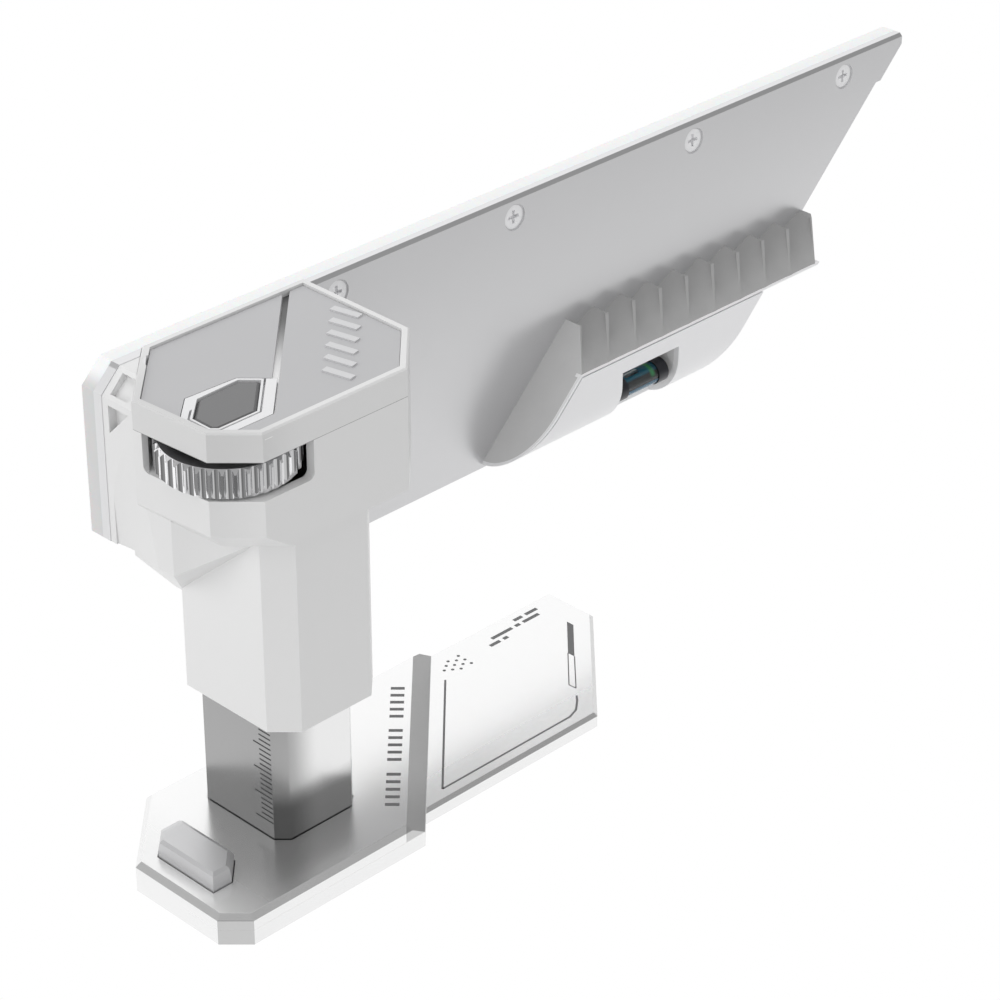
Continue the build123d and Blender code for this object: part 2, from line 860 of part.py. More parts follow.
def screw_gear():
    """Gear on the lead screw, with a tooth towards the wheel."""
    return involute_gear(gear_bottom, gear_top, screw_journal / 2 - gear_step + press, gear_angle())


def lead_screw():
    """Lead screw with its thrust collar and journal; its thread is left plain."""
    low = column_bottom + foot_plate + screw_reach
    collar_top = plate_bottom - assembly_gap
    radius = screw_diameter / 2
    journal = screw_journal / 2
    profile = Polyline(
        (0, low),
        (radius - screw_tip_bevel, low),
        (radius, low + screw_tip_bevel),
        (radius, collar_top - collar_height),
        (radius + collar_width, collar_top - collar_height),
        (radius + collar_width, collar_top),
        (journal, collar_top),
        (journal, gear_bottom),
        (journal - gear_step, gear_bottom),
        (journal - gear_step, gear_top),
        (0, gear_top),
        close=True,
    )
    return revolve(Plane.XZ * make_face(profile), Axis.Z)


def recess_outline():
    """Inner edge of the cap's rim."""
    return inset(head_outline(), cap_rim)


def bezel_outline():
    """Outer edge of the white frame round the release button; the cap's rim cuts its left end off."""
    right = groove_right - bezel_channel
    return [
        (-19.5, -2.0), (-19.5, bezel_front), (bezel_front + right, bezel_front), (1.3, 1.3 - right),
        (-3.35, 2.85), (-13.8, 3.35),
    ]


def bezel_block(bottom, top, margin=0.0):
    """Solid over the frame's outline, grown by a margin and kept inside the cap's recess."""
    frame = prism(inset(bezel_outline(), -margin), bottom, top)
    return frame & prism(inset(recess_outline(), press), bottom, top)


def release_outline(margin=0.0):
    """Outline of the release button, grown by a margin."""
    corners = [
        (-17.1, -2.7), (-17.1, -6.9), (-16.3, -7.7), (-8.4, -7.7), (-1.15, -0.45), (-3.6, 2.0), (-12.4, 1.7),
    ]
    return inset(corners, -margin)


def cap_screw_places():
    """The cap's screws, under the inlays."""
    x = head_right - cap_screw_edge
    return [(x, head_front + head_front_right_cut + 1), (x, head_back - 5), (cap_screw_left, 16.0)]


def cap():
    """Cast cap with a raised rim, a recess for the inlays and the release button's pocket."""
    body = prism(head_outline(), cap_bottom, cap_top)
    body = chamfer(body.edges().group_by(Axis.Z)[-1], cap_chamfer)
    body -= prism(recess_outline(), recess_floor, cap_top + overcut)
    body -= bezel_block(bezel_bottom, cap_top)
    body -= prism(release_outline(release_gap + release_flange + assembly_gap), release_floor, recess_floor)
    for x, y in cap_screw_places():
        body -= Pos(x, y, recess_floor) * screw_hole(
            cap_screw_head, cap_screw_shank, cap_screw_length, cap_screw_rise)
    return body


def button_bezel():
    """White frame that keeps the release button in its pocket, channelled round a thin inner ring."""
    body = bezel_block(bezel_bottom, inlay_top, -press)
    floor = inlay_top - channel_depth
    channel = prism(release_outline(bezel_band + bezel_channel), floor, inlay_top + overcut)
    channel -= prism(release_outline(bezel_band), bezel_bottom, inlay_top + overcut)
    body -= channel & block(head_left_back, head_right, head_front, release_y + channel_back, bezel_bottom,
                            inlay_top + overcut)
    return body - prism(release_outline(release_gap), bezel_bottom - overcut, inlay_top + overcut)


def release_button():
    """Six-sided button with a hidden flange and a spring hole."""
    flange_top = bezel_bottom - assembly_gap
    flange_bottom = release_floor + release_travel + assembly_gap
    body = prism(release_outline(), flange_bottom, inlay_top - release_drop)
    body = chamfer(body.edges().group_by(Axis.Z)[-1], release_chamfer)
    body += prism(release_outline(release_gap + release_flange), flange_bottom, flange_top)
    return body - rod(release_x, release_y, flange_bottom - overcut, inlay_top - release_roof,
                      release_spring_radius + release_spring_wire)


def release_spring():
    """Spring under the release button."""
    return spring(release_x, release_y, release_floor, inlay_top - release_roof, release_spring_radius,
                  release_spring_wire, release_spring_turns)


def inlay(left_side):
    """One of the two gray plates laid into the cap."""
    plate = prism(inset(recess_outline(), assembly_gap), recess_floor, inlay_top)
    front = plate & block(head_left_back, head_right, head_front, bezel_front, recess_floor, inlay_top)
    if left_side:
        plate = on_diagonal(plate, groove_left, keep_low=True, along_y=True) - front
    else:
        plate = on_diagonal(plate, groove_right, keep_low=False, along_y=True) + front
    return plate - bezel_block(recess_floor - overcut, cap_top, assembly_gap)


def cap_screws():
    """Screws that hold the cap."""
    piece = screw(cap_screw_head, cap_screw_shank, cap_screw_length, cap_screw_rise, cap_screw_cross)
    return [Pos(x, y, recess_floor) * piece for x, y in cap_screw_places()]


def arm_outline():
    """Outline of the arm in x and z, counter-clockwise from its lower left corner."""
    corner_low = arm_inner_corner - (arm_low_left - arm_bottom)
    return [
        (arm_left, arm_low_left),
        (corner_low, arm_low_left),
        (arm_inner_corner, arm_bottom),
        (arm_diagonal + arm_bottom, arm_bottom),
        (arm_diagonal + arm_step_height, arm_step_height),
        (arm_step_diagonal + arm_step_height, arm_step_height),
        (arm_tip, arm_tip - arm_step_diagonal),
        (arm_tip, arm_top),
        (arm_left + arm_corner_cut, arm_top),
        (arm_left, arm_top - arm_corner_cut),
    ]


def mount_screw_places():
    """Screws from the arm plate into the head, in x and z."""
    low, high = arm_low_left + 4.3, head_bottom + 12.5
    return [(arm_left + 5.5, low), (sleeve_right - 8.1, low), (-3.0, high), (head_right - 8.2, high - 4)]


def shelf_screw_places():
    """Screws from the arm plate into the shelf's core, in x and z."""
    low, middle, high = shelf_bottom + 4.1, shelf_bottom + 8.6, shelf_bottom + 12.6
    return [
        (shelf_left_diagonal + shelf_screw_edge + middle, middle),
        (cover_right_diagonal - shelf_screw_far + low, low),
        (cover_right_diagonal - shelf_screw_edge + high, high),
    ]


def back_screw_hole(x, z):
    """Countersunk hole from the arm plate's back."""
    return Pos(x, panel_front, z) * Rot(-90, 0, 0) * screw_hole(
        back_screw_head, back_screw_shank, back_screw_length, back_screw_rise)


def back_screw_core(x, z):
    """Tapped hole that a screw from the arm plate's back runs into."""
    depth = back_screw_length - plate_thickness + overcut
    return Pos(x, arm_front, z) * Rot(90, 0, 0) * Cylinder(
        back_screw_shank / 2 + press, depth, align=(Align.CENTER, Align.CENTER, Align.MIN))


def back_screws(places):
    """Countersunk screws put in from the arm plate's back."""
    piece = Rot(-90, 0, 0) * screw(
        back_screw_head, back_screw_shank, back_screw_length, back_screw_rise, back_screw_cross)
    return [Pos(x, panel_front, z) * piece for x, z in places]


def arm_plate():
    """Metal front plate of the arm, notched for the cap."""
    body = side_prism(arm_outline(), arm_front, panel_front)
    body -= prism(inset(head_outline(), -assembly_gap), head_top - assembly_gap, cap_top + overcut)
    front_top = [
        edge for edge in body.edges()
        if math.isclose(edge.center().Y, arm_front) and math.isclose(edge.center().Z, arm_top)
        and edge.center().X > head_right
    ]
    body = chamfer(front_top, arm_chamfer)
    for x in arm_screw_places:
        seat = Pos(x, arm_front, arm_screw_height) * Rot(90, 0, 0)
        body -= seat * Pos(0, 0, -screw_ring_depth) * Cylinder(
            screw_ring / 2, 2, align=(Align.CENTER, Align.CENTER, Align.MIN))
        body -= seat * Pos(0, 0, -screw_ring_depth) * screw_hole(
            arm_screw_head, arm_screw_shank, arm_screw_length, arm_screw_rise)
    for x, z in mount_screw_places() + shelf_screw_places():
        body -= back_screw_hole(x, z)
    return body


def arm_screws():
    """The four screws on the arm's face, which hold the rear panel."""
    piece = Rot(90, 0, 0) * screw(
        arm_screw_head, arm_screw_shank, arm_screw_length, arm_screw_rise, arm_screw_cross)
    return [Pos(x, arm_front + screw_ring_depth, arm_screw_height) * piece for x in arm_screw_places]


def mount_screws():
    """Screws that hold the arm plate to the head."""
    return back_screws(mount_screw_places())


def shelf_screws():
    """Screws that hold the shelf to the arm plate."""
    return back_screws(shelf_screw_places())


def board_outline(margin=0.0):
    """Outline of the light board in x and z; its right end follows the arm's slant."""
    slant = board_right - board_high
    return inset(
        [(board_left, board_low), (slant + board_low, board_low), (board_right, board_high),
         (board_left, board_high)],
        -margin,
    )


def arm_panel():
    """Milky rear panel with a pocket for the light board and a way down to its socket."""
    body = side_prism(arm_outline(), panel_front, panel_back)
    rim = body.edges().group_by(Axis.Y)[-1]
    body = chamfer(rim, panel_chamfer)
    before = panel_front - overcut
    body -= side_prism(board_outline(board_gap), before, panel_front + board_depth)
    half = socket_width / 2 + assembly_gap
    body -= block(socket_x - half, socket_x + half, before, panel_front + board_depth + board_gap,
                  arm_bottom - overcut, arm_bottom + socket_length + assembly_gap)
    half = channel_width / 2
    body -= block(socket_x - half, socket_x + half, before, panel_front + board_depth, arm_bottom, board_low)
    depth = screw_ring_depth + arm_screw_length - plate_thickness + assembly_gap
    for x in arm_screw_places:
        body -= Pos(x, panel_front, arm_screw_height) * Rot(90, 0, 0) * Cylinder(
            arm_screw_shank / 2 + press, depth * 2)
    return body


def light_board():
    """Circuit board with a row of lights, on the back of the arm plate."""
    board = side_prism(board_outline(), panel_front, panel_front + board_thickness)
    pitch = (board_right - board_left - light_margin * 4) / (light_count - 1)
    middle = (board_low + board_high) / 2
    back = panel_front + board_thickness
    half = light_size / 2
    for index in range(light_count):
        x = board_left + light_margin + index * pitch
        board += block(x - half, x + half, back, back + light_height, middle - half, middle + half)
    return board


def cable_socket():
    """Three-pin inlet in the panel's lower edge."""
    half = socket_width / 2
    back = panel_front + board_depth + board_gap
    middle = (panel_front + back) / 2
    roof = arm_bottom + socket_length - socket_floor
    body = block(socket_x - half, socket_x + half, panel_front, back, arm_bottom, arm_bottom + socket_length)
    half -= socket_wall
    body -= block(socket_x - half, socket_x + half, panel_front + socket_wall, back - socket_wall,
                  arm_bottom - overcut, roof)
    half = contact_width / 2
    for step in (-1, 0, 1):
        x = socket_x + step * contact_pitch
        body += block(x - half, x + half, middle - half, middle + half, arm_bottom + socket_floor, roof)
    return body


def shelf_prism(points, right_diagonal):
    """Prism along x over an outline in y and z, cut at both ends along the arm's slant."""
    body = cross_prism(points, shelf_left_diagonal, arm_tip)
    body = on_diagonal(body, shelf_left_diagonal, keep_low=False)
    return on_diagonal(body, right_diagonal, keep_low=True)


def rounded_section(inner, top):
    """Section of the shelf's lower part in y and z, as a face in the plane x = 0."""
    radius = arm_front - shelf_lip_y - inner
    front = shelf_lip_y + inner
    low = shelf_bottom + inner
    centre = low + radius
    bend = radius * math.sqrt(0.5)
    return make_face(
        Line((0, front, top), (0, front, centre))
        + ThreePointArc((0, front, centre), (0, arm_front - bend, centre - bend), (0, arm_front, low))
        + Polyline((0, arm_front, low), (0, arm_front, top), (0, front, top))
    )


def rounded_part(inner, top, left_diagonal, right_diagonal):
    """Part of the shelf's lower form between two slanted ends."""
    body = extrude(Pos(shelf_left_diagonal, 0, 0) * rounded_section(inner, top), amount=arm_tip, dir=(1, 0, 0))
    body = on_diagonal(body, left_diagonal, keep_low=False)
    return on_diagonal(body, right_diagonal, keep_low=True)


def trim_edge(gap=0.0):
    """Slanted plane at the inner edge of the bright trim, moved on by a gap."""
    return shelf_left_diagonal + (lip_height + gap) * math.sqrt(2)


def window_space():
    """Space of the level's window."""
    return block(window_left, window_right, shelf_lip_y - overcut, shelf_lip_y + window_depth,
                 shelf_bottom - overcut, window_top)


def tooth_space(index):
    """Scoop between two ridges: it starts flat at the lip and deepens until it meets the arm plate."""
    rise = shelf_land_z - shelf_lip_z
    run = shelf_land_y - shelf_lip_y

    def section(height):
        """Section of the scoop at a height."""
        share = (height - shelf_lip_z) / rise
        land = tooth_land * share
        left = shelf_left_diagonal + height + index * tooth_pitch + land / 2
        width = tooth_pitch - land
        front = shelf_lip_y + run * share
        depth = tooth_depth_low + (tooth_depth_high - tooth_depth_low) * share
        right = left + width
        side = width * tooth_shoulder
        return make_face(
            Spline((left, front, height), (left + side, front + depth * 0.75, height),
                   (left + width / 2, front + depth, height), (right - side, front + depth * 0.75, height),
                   (right, front, height))
            + Polyline((right, front, height), (right, front - overcut * 2, height),
                       (left, front - overcut * 2, height), (left, front, height))
        )

    return loft([section(shelf_lip_z), section(shelf_land_z + overcut / 2)], ruled=True)


def shelf_pad():
    """Gray moulded pad: ridged slope on top, core inside the cover below."""
    inner = shelf_lip_y + shelf_shell
    wedge = shelf_prism(
        [
            (shelf_lip_y, shelf_lip_z),
            (shelf_land_y, shelf_land_z),
            (arm_front, shelf_land_z),
            (arm_front, seat_top),
            (inner, seat_top),
            (inner, shelf_lip_z),
        ],
        arm_diagonal,
    )
    middle = (shelf_lip_z + shelf_land_z) / 2
    corner = wedge.edges().sort_by_distance((arm_diagonal + middle, (shelf_lip_y + shelf_land_y) / 2, middle))[0]
    wedge = chamfer(corner, end_bevel)
    for index in range(tooth_count):
        wedge -= tooth_space(index)
    body = wedge + rounded_part(
        shelf_shell, seat_top, shelf_left_diagonal, cover_right_diagonal - shelf_shell * math.sqrt(2))
    body += rounded_part(trim_depth, trim_bottom, shelf_left_diagonal, trim_edge())
    body -= window_space()
    for x, z in shelf_screw_places():
        body -= back_screw_core(x, z)
    return body


def shelf_lip():
    """Thin bright trim along the pad's lower front edge and down the shelf's left end."""
    top = shelf_prism(
        [
            (shelf_lip_y, trim_bottom),
            (shelf_lip_y + shelf_shell, trim_bottom),
            (shelf_lip_y + shelf_shell, shelf_lip_z),
            (shelf_lip_y, shelf_lip_z),
        ],
        arm_diagonal,
    )
    end = rounded_part(0, trim_bottom, shelf_left_diagonal, trim_edge())
    return top + (end - rounded_part(trim_depth, trim_bottom + overcut, shelf_left_diagonal, trim_edge(overcut)))


def shelf_cover():
    """White shell round the shelf's front and bottom, closed at its right end."""
    wall = shelf_shell * math.sqrt(2)
    body = rounded_part(0, seat_top, trim_edge(seam), cover_right_diagonal)
    body -= rounded_part(shelf_shell, seat_top + overcut, trim_edge(), cover_right_diagonal - wall)
    return body - window_space()


def vial_rod(left, right, radius):
    """Cylinder on the vial's axis."""
    return Pos((left + right) / 2, vial_y, vial_z) * Rot(0, 90, 0) * Cylinder(radius, right - left)


def vial_tube():
    """Glass tube of the level."""
    outer = vial_radius - vial_play
    return vial_rod(vial_left, vial_right, outer) - vial_rod(
        vial_left + vial_plug, vial_right - vial_plug, outer - vial_wall)


def vial_liquid():
    """Liquid in the tube, with the bubble left free at its top."""
    liquid = vial_rod(vial_left + vial_plug, vial_right - vial_plug, vial_radius - vial_play - vial_wall)
    middle = (window_left + vial_right - vial_band) / 2
    half = bubble_length / 2
    height = vial_z + bubble_rise
    bubble = Pos(middle, vial_y, height) * Rot(0, 90, 0) * Cylinder(bubble_radius, bubble_length)
    for x in (middle - half, middle + half):
        bubble += Pos(x, vial_y, height) * Sphere(bubble_radius)
    return liquid - bubble


def vial_caps():
    """Dark sleeves at the tube's ends, with saddles to the wall behind."""
    bands = []
    half = saddle_height / 2
    for left in (vial_left - assembly_gap, vial_right + assembly_gap - vial_band):
        band = vial_rod(left, left + vial_band, vial_radius)
        band += block(left, left + vial_band, vial_y, shelf_lip_y + window_depth, vial_z - half, vial_z + half)
        bands.append(band - vial_rod(vial_left - overcut, vial_right + overcut, vial_radius - vial_play))
    return bands


def write(name, shape):
    """Write one piece, or a group of like pieces, to its own file."""
    if isinstance(shape, list):
        shape = Compound(children=[solid for item in shape for solid in item.solids()])
    shape.label = name
    export_step(shape, f"parts/{name}.step")


def main():
    """Build and write every piece."""
    os.makedirs("parts", exist_ok=True)
    pieces = {
        "base_plate": base_plate,
        "bottom_cover": bottom_cover,
        "cover_screws": cover_screws,
        "base_magnets": base_magnets,
        "foot_pads": foot_pads,
        "base_button": base_button,
        "button_spring": button_spring,
        "column": column,
        "column_screws": column_screws,
        "lead_nut": lead_nut,
        "head_housing": head_housing,
        "slide_liner": slide_liner,
        "bearing_plate": bearing_plate,
        "bearing_screws": bearing_screws,
        "wheel_pin": wheel_pin,
        "thumb_wheel": thumb_wheel,
        "wheel_gear": wheel_gear,
        "lead_screw": lead_screw,
        "screw_gear": screw_gear,
        "cap": cap,
        "button_bezel": button_bezel,
        "inlay_left": lambda: inlay(True),
        "inlay_right": lambda: inlay(False),
        "cap_screws": cap_screws,
        "release_button": release_button,
        "release_spring": release_spring,
        "arm_plate": arm_plate,
        "arm_panel": arm_panel,
        "light_board": light_board,
        "cable_socket": cable_socket,
        "arm_screws": arm_screws,
        "mount_screws": mount_screws,
        "shelf_pad": shelf_pad,
        "shelf_lip": shelf_lip,
        "shelf_cover": shelf_cover,
        "shelf_screws": shelf_screws,
        "vial_tube": vial_tube,
        "vial_liquid": vial_liquid,
        "vial_caps": vial_caps,
    }
    for name, make in pieces.items():
        write(name, make())


main()
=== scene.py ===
"""Looks of the graphics card support bracket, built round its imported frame."""

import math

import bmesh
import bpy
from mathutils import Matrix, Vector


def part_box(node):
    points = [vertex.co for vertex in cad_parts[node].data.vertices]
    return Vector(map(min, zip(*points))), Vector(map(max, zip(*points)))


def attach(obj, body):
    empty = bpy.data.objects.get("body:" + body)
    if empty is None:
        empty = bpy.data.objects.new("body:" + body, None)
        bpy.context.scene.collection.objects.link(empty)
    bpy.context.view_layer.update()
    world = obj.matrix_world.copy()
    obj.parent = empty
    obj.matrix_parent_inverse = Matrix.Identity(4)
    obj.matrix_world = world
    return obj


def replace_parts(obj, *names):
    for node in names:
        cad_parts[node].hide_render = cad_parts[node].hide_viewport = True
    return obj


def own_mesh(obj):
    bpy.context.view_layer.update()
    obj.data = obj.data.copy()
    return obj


bl_info = {
    "name": "Card Support Bracket Looks",
    "version": (1, 0, 0),
    "blender": (4, 5, 0),
    "location": "View3D > Sidebar > Bracket",
    "description": "Dresses the support bracket: finishes, printed marks, the level and the studio",
    "category": "Object",
}

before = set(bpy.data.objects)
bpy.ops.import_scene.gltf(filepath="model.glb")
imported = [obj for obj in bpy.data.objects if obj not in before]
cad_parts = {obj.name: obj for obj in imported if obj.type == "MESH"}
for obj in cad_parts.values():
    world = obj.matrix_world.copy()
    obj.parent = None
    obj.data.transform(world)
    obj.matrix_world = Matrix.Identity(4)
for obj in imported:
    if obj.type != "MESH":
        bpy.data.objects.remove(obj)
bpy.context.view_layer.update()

MM = 0.001


def low_edge(node, axis):
    """Where a CAD node begins along an axis, in millimetres."""
    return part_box(node)[0]["xyz".index(axis)] / MM


def high_edge(node, axis):
    """Where a CAD node ends along an axis, in millimetres."""
    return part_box(node)[1]["xyz".index(axis)] / MM


# Places on the part, in millimetres
BASE_TOP = high_edge("base_plate", "z")
BASE_LEFT = low_edge("base_plate", "x")
BASE_FRONT = low_edge("base_plate", "y")
BASE_FRONT_CUT = 4.2
STRIP_START = 31.3  # x - y just past the upper edge of the foot's sloping strip
WING_START = 36.0  # x - y just past the strip's lower edge
WING_TOP = 3.3
WING_FRONT = -17.9
WING_CHAMFER = 0.65
COLUMN_LEFT = low_edge("column", "x")
CAP_LEFT = low_edge("cap", "x")
CAP_BOTTOM = low_edge("cap", "z")
RECESS_FLOOR = 87.9
INLAY_TOP = high_edge("inlay_right", "z")
GROOVE_MIDDLE = 2.75  # x - y along the groove in the cap
ARM_LEFT = low_edge("arm_plate", "x")
ARM_FRONT = low_edge("arm_plate", "y")
ARM_TOP = high_edge("arm_plate", "z")
ARM_CHAMFER = 0.63
PAD_END = 31.4  # x - z along the pad's slanted end
WINDOW_MIDDLE = 103.95
WINDOW_HALF = 7.75
WINDOW_TOP = 49.8
VIAL_Y = 13.1
VIAL_Z = 44.5
SLACK = 0.05  # how far a change of finish reaches past the face that it is for

BRUSH_DEPTH = 0.0012
LACQUER_WAVE = 0.003


class Value:
    """A shader socket that works in Python expressions."""

    def __init__(self, finish, socket):
        self.finish = finish
        self.socket = socket

    def _math(self, operation, first, second):
        return self.finish.node("ShaderNodeMath", {"operation": operation}, {0: first, 1: second})

    def __add__(self, other):
        return self._math("ADD", self, other)

    def __sub__(self, other):
        return self._math("SUBTRACT", self, other)

    def __rsub__(self, other):
        return self._math("SUBTRACT", other, self)

    def __mul__(self, other):
        return self._math("MULTIPLY", self, other)

    def __truediv__(self, other):
        return self._math("DIVIDE", self, other)

    def cap_at(self, most):
        """The value, never above a stated number."""
        return self._math("MINIMUM", self, most)

    def size(self):
        """The value without its sign."""
        return self._math("ABSOLUTE", self, 0.0)

    def __gt__(self, other):
        return self._math("GREATER_THAN", self, other)

    def __lt__(self, other):
        return self._math("LESS_THAN", self, other)


class Finish:
    """One procedural material: a Principled shader and the nodes that vary it."""

    def __init__(self, name, colour, **constants):
        self.material = bpy.data.materials.new(name)
        self.material.use_nodes = True
        self.tree = self.material.node_tree
        self.shader = self.tree.nodes["Principled BSDF"]
        self.material.diffuse_color = (*colour, 1.0)
        self.put("Base Color", (*colour, 1.0))
        for socket, value in constants.items():
            self.put(socket.replace("_", " "), value)

    def put(self, socket, value):
        """Set or link one input of the shader."""
        self._feed(self.shader.inputs[socket], value)

    def _feed(self, target, value):
        if isinstance(value, Value):
            self.tree.links.new(value.socket, target)
        else:
            target.default_value = value

    def node(self, kind, settings=None, values=None, output=0):
        """Add a node, set it, feed its inputs and return one output."""
        node = self.tree.nodes.new(kind)
        for name, value in (settings or {}).items():
            if name == "stops":
                self._stops(node.color_ramp.elements, value)
            else:
                setattr(node, name, value)
        for name, value in (values or {}).items():
            self._feed(node.inputs[name], value)
        return Value(self, node.outputs[output])

    def _stops(self, elements, stops):
        while len(elements) < len(stops):
            elements.new(0.5)
        for element, (position, shade) in zip(elements, stops):
            element.position = position
            element.color = shade if isinstance(shade, tuple) else (shade, shade, shade, 1.0)

    def place(self, stretch=(1.0, 1.0, 1.0)):
        """Object coordinates in millimetres, stretched."""
        coordinates = self.node("ShaderNodeTexCoord", output="Object")
        scale = tuple(factor / MM for factor in stretch)
        return self.node("ShaderNodeMapping", values={"Vector": coordinates, "Scale": scale})

    def axes(self):
        """Object coordinates in millimetres, as three values."""
        values = {"Vector": self.place()}
        return [self.node("ShaderNodeSeparateXYZ", values=values, output=axis) for axis in "XYZ"]

    def fade(self, value, start, end, low, high):
        """Let a value run smoothly from low to high between two places."""
        limits = {"Value": value, "From Min": start, "From Max": end, "To Min": low, "To Max": high}
        return self.node("ShaderNodeMapRange", {"interpolation_type": "SMOOTHSTEP"}, limits)

    def noise(self, scale, detail=3.0, roughness=0.55, stretch=(1.0, 1.0, 1.0)):
        """Noise whose scale is in features per millimetre."""
        values = {"Vector": self.place(stretch), "Scale": scale, "Detail": detail, "Roughness": roughness}
        return self.node("ShaderNodeTexNoise", values=values)

    def ramp(self, value, stops):
        """Map a value through a colour ramp."""
        return self.node("ShaderNodeValToRGB", {"stops": stops}, {"Fac": value})

    def mix(self, share, first, second):
        """Mix two colours by a share."""
        node = self.tree.nodes.new("ShaderNodeMix")
        node.data_type = "RGBA"
        for index, value in ((0, share), (6, first), (7, second)):
            self._feed(node.inputs[index], value)
        return Value(self, node.outputs[2])

    def vary_colour(self, first, second, share):
        """Let the base colour drift between two colours."""
        self.put("Base Color", self.mix(share, (*first, 1.0), (*second, 1.0)))

    def vary_roughness(self, value, low, high):
        """Let the roughness drift between two numbers."""
        self.put("Roughness", value * (high - low) + low)

    def bump(self, height, depth_mm, strength=1.0):
        """Raise the surface by a height map of a stated depth."""
        values = {"Height": height, "Distance": depth_mm * MM, "Strength": strength}
        self.put("Normal", self.node("ShaderNodeBump", values=values))


def shade(colour, factor):
    """A colour made lighter or darker by a factor."""
    return tuple(min(1.0, part * factor) for part in colour)


def paint_finish(name, colour, roughness=0.36, grain=0.0035, coat=0.15):
    """Powder coat: a fine orange peel over cast metal."""
    finish = Finish(name, colour, Roughness=roughness, Coat_Weight=coat, Coat_Roughness=0.25,
                    Specular_IOR_Level=0.45)
    drift = finish.noise(0.05, 2.0)
    peel = finish.noise(2.4, 2.0, 0.45)
    finish.vary_colour(shade(colour, 0.985), shade(colour, 1.008), drift)
    finish.vary_roughness(finish.noise(0.9, 3.0), roughness - 0.05, roughness + 0.05)
    finish.bump(peel, grain)
    return finish


def paint(*settings):
    """Material of a powder coat."""
    return paint_finish(*settings).material


def lacquer(name, colour, metallic, roughness):
    """Satin metal under clear lacquer: it mirrors softly and keeps the faintest waves."""
    finish = Finish(name, colour, Metallic=metallic, Roughness=roughness)
    drift = finish.noise(0.04, 2.0)
    finish.vary_colour(shade(colour, 0.985), shade(colour, 1.01), drift)
    finish.vary_roughness(finish.noise(0.3, 2.0), roughness - 0.02, roughness + 0.02)
    finish.bump(finish.noise(0.15, 2.0), LACQUER_WAVE)
    return finish


def moulded(name, colour, roughness=0.4, grain=0.003):
    """Moulded plastic with a fine spark-eroded texture."""
    finish = Finish(name, colour, Roughness=roughness, Specular_IOR_Level=0.5)
    fine = finish.noise(5.0, 2.0, 0.6)
    finish.vary_colour(shade(colour, 0.98), shade(colour, 1.01), finish.noise(0.08, 2.0))
    finish.vary_roughness(fine, roughness - 0.04, roughness + 0.06)
    finish.bump(fine, grain)
    return finish.material


def rubber(name, colour):
    """Matt rubber with a fine pebble."""
    finish = Finish(name, colour, Roughness=0.62, Specular_IOR_Level=0.35)
    pebble = finish.noise(6.0, 3.0, 0.6)
    finish.vary_colour(shade(colour, 0.93), shade(colour, 1.06), finish.noise(0.25, 4.0))
    finish.vary_roughness(pebble, 0.56, 0.72)
    finish.bump(pebble, 0.012)
    return finish.material


def brushed(name, colour, roughness, stretch):
    """Brushed metal; the stretch makes the scratches long along one axis."""
    finish = Finish(name, colour, Metallic=1.0, Roughness=roughness)
    scratches = finish.noise(9.0, 4.0, 0.6, stretch)
    finish.vary_colour(shade(colour, 0.96), shade(colour, 1.03), scratches)
    finish.vary_roughness(scratches, roughness - 0.04, roughness + 0.07)
    finish.bump(scratches, BRUSH_DEPTH)
    return finish.material


def polished(name, colour, roughness=0.05):
    """Bright plated metal with faint wipe marks."""
    finish = Finish(name, colour, Metallic=1.0, Roughness=roughness)
    haze = finish.noise(0.6, 4.0)
    finish.vary_colour(shade(colour, 0.98), shade(colour, 1.02), haze)
    finish.vary_roughness(haze, roughness * 0.6, roughness * 1.8)
    return finish.material


def clear(name, colour, ior):
    """Glass, with the faintest streaks in its polish."""
    roughness = 0.01
    finish = Finish(name, colour, Roughness=roughness, IOR=ior, Transmission_Weight=1.0)
    streak = finish.noise(0.8, 2.0, 0.5, (0.1, 1.0, 1.0))
    finish.vary_roughness(streak, roughness * 0.5, roughness * 1.5)
    return finish.material


def ink(name, colour):
    """Screen-printed ink."""
    finish = Finish(name, colour, Roughness=0.5)
    finish.vary_colour(shade(colour, 0.9), shade(colour, 1.1), finish.noise(3.0, 3.0))
    return finish.material


def dress(material, *nodes):
    """Give CAD nodes a material."""
    for name in nodes:
        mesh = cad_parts[name].data
        mesh.materials.clear()
        mesh.materials.append(material)


def add_piece(name, form, material, body):
    """Make an object of a bmesh, dress it and let it ride with a body."""
    mesh = bpy.data.meshes.new(name)
    bmesh.ops.recalc_face_normals(form, faces=form.faces)
    form.to_mesh(mesh)
    form.free()
    mesh.materials.append(material)
    piece = bpy.data.objects.new(name, mesh)
    bpy.context.scene.collection.objects.link(piece)
    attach(piece, body)
    return piece


def copy_form(node):
    """A bmesh with the shape of a CAD node."""
    form = bmesh.new()
    form.from_mesh(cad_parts[node].data)
    return form


def add_coil(name, node, body):
    """A spring in place of the CAD one."""
    wire = brushed(name + "_wire", (0.50, 0.50, 0.51), 0.22, (1.0, 1.0, 1.0))
    coil = add_piece(name, copy_form(node), wire, body)
    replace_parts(coil, node)
    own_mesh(coil)


def push_out(form, face, lift):
    """Make a thin solid of a face by pushing it out by a lift vector."""
    pushed = bmesh.ops.extrude_face_region(form, geom=[face])
    moved = [part for part in pushed["geom"] if isinstance(part, bmesh.types.BMVert)]
    bmesh.ops.translate(form, verts=moved, vec=lift)


def raise_outline(form, corners, lift):
    """Add a thin solid: a face over corners in metres, pushed out by a lift vector."""
    push_out(form, form.faces.new([form.verts.new(corner) for corner in corners]), lift)


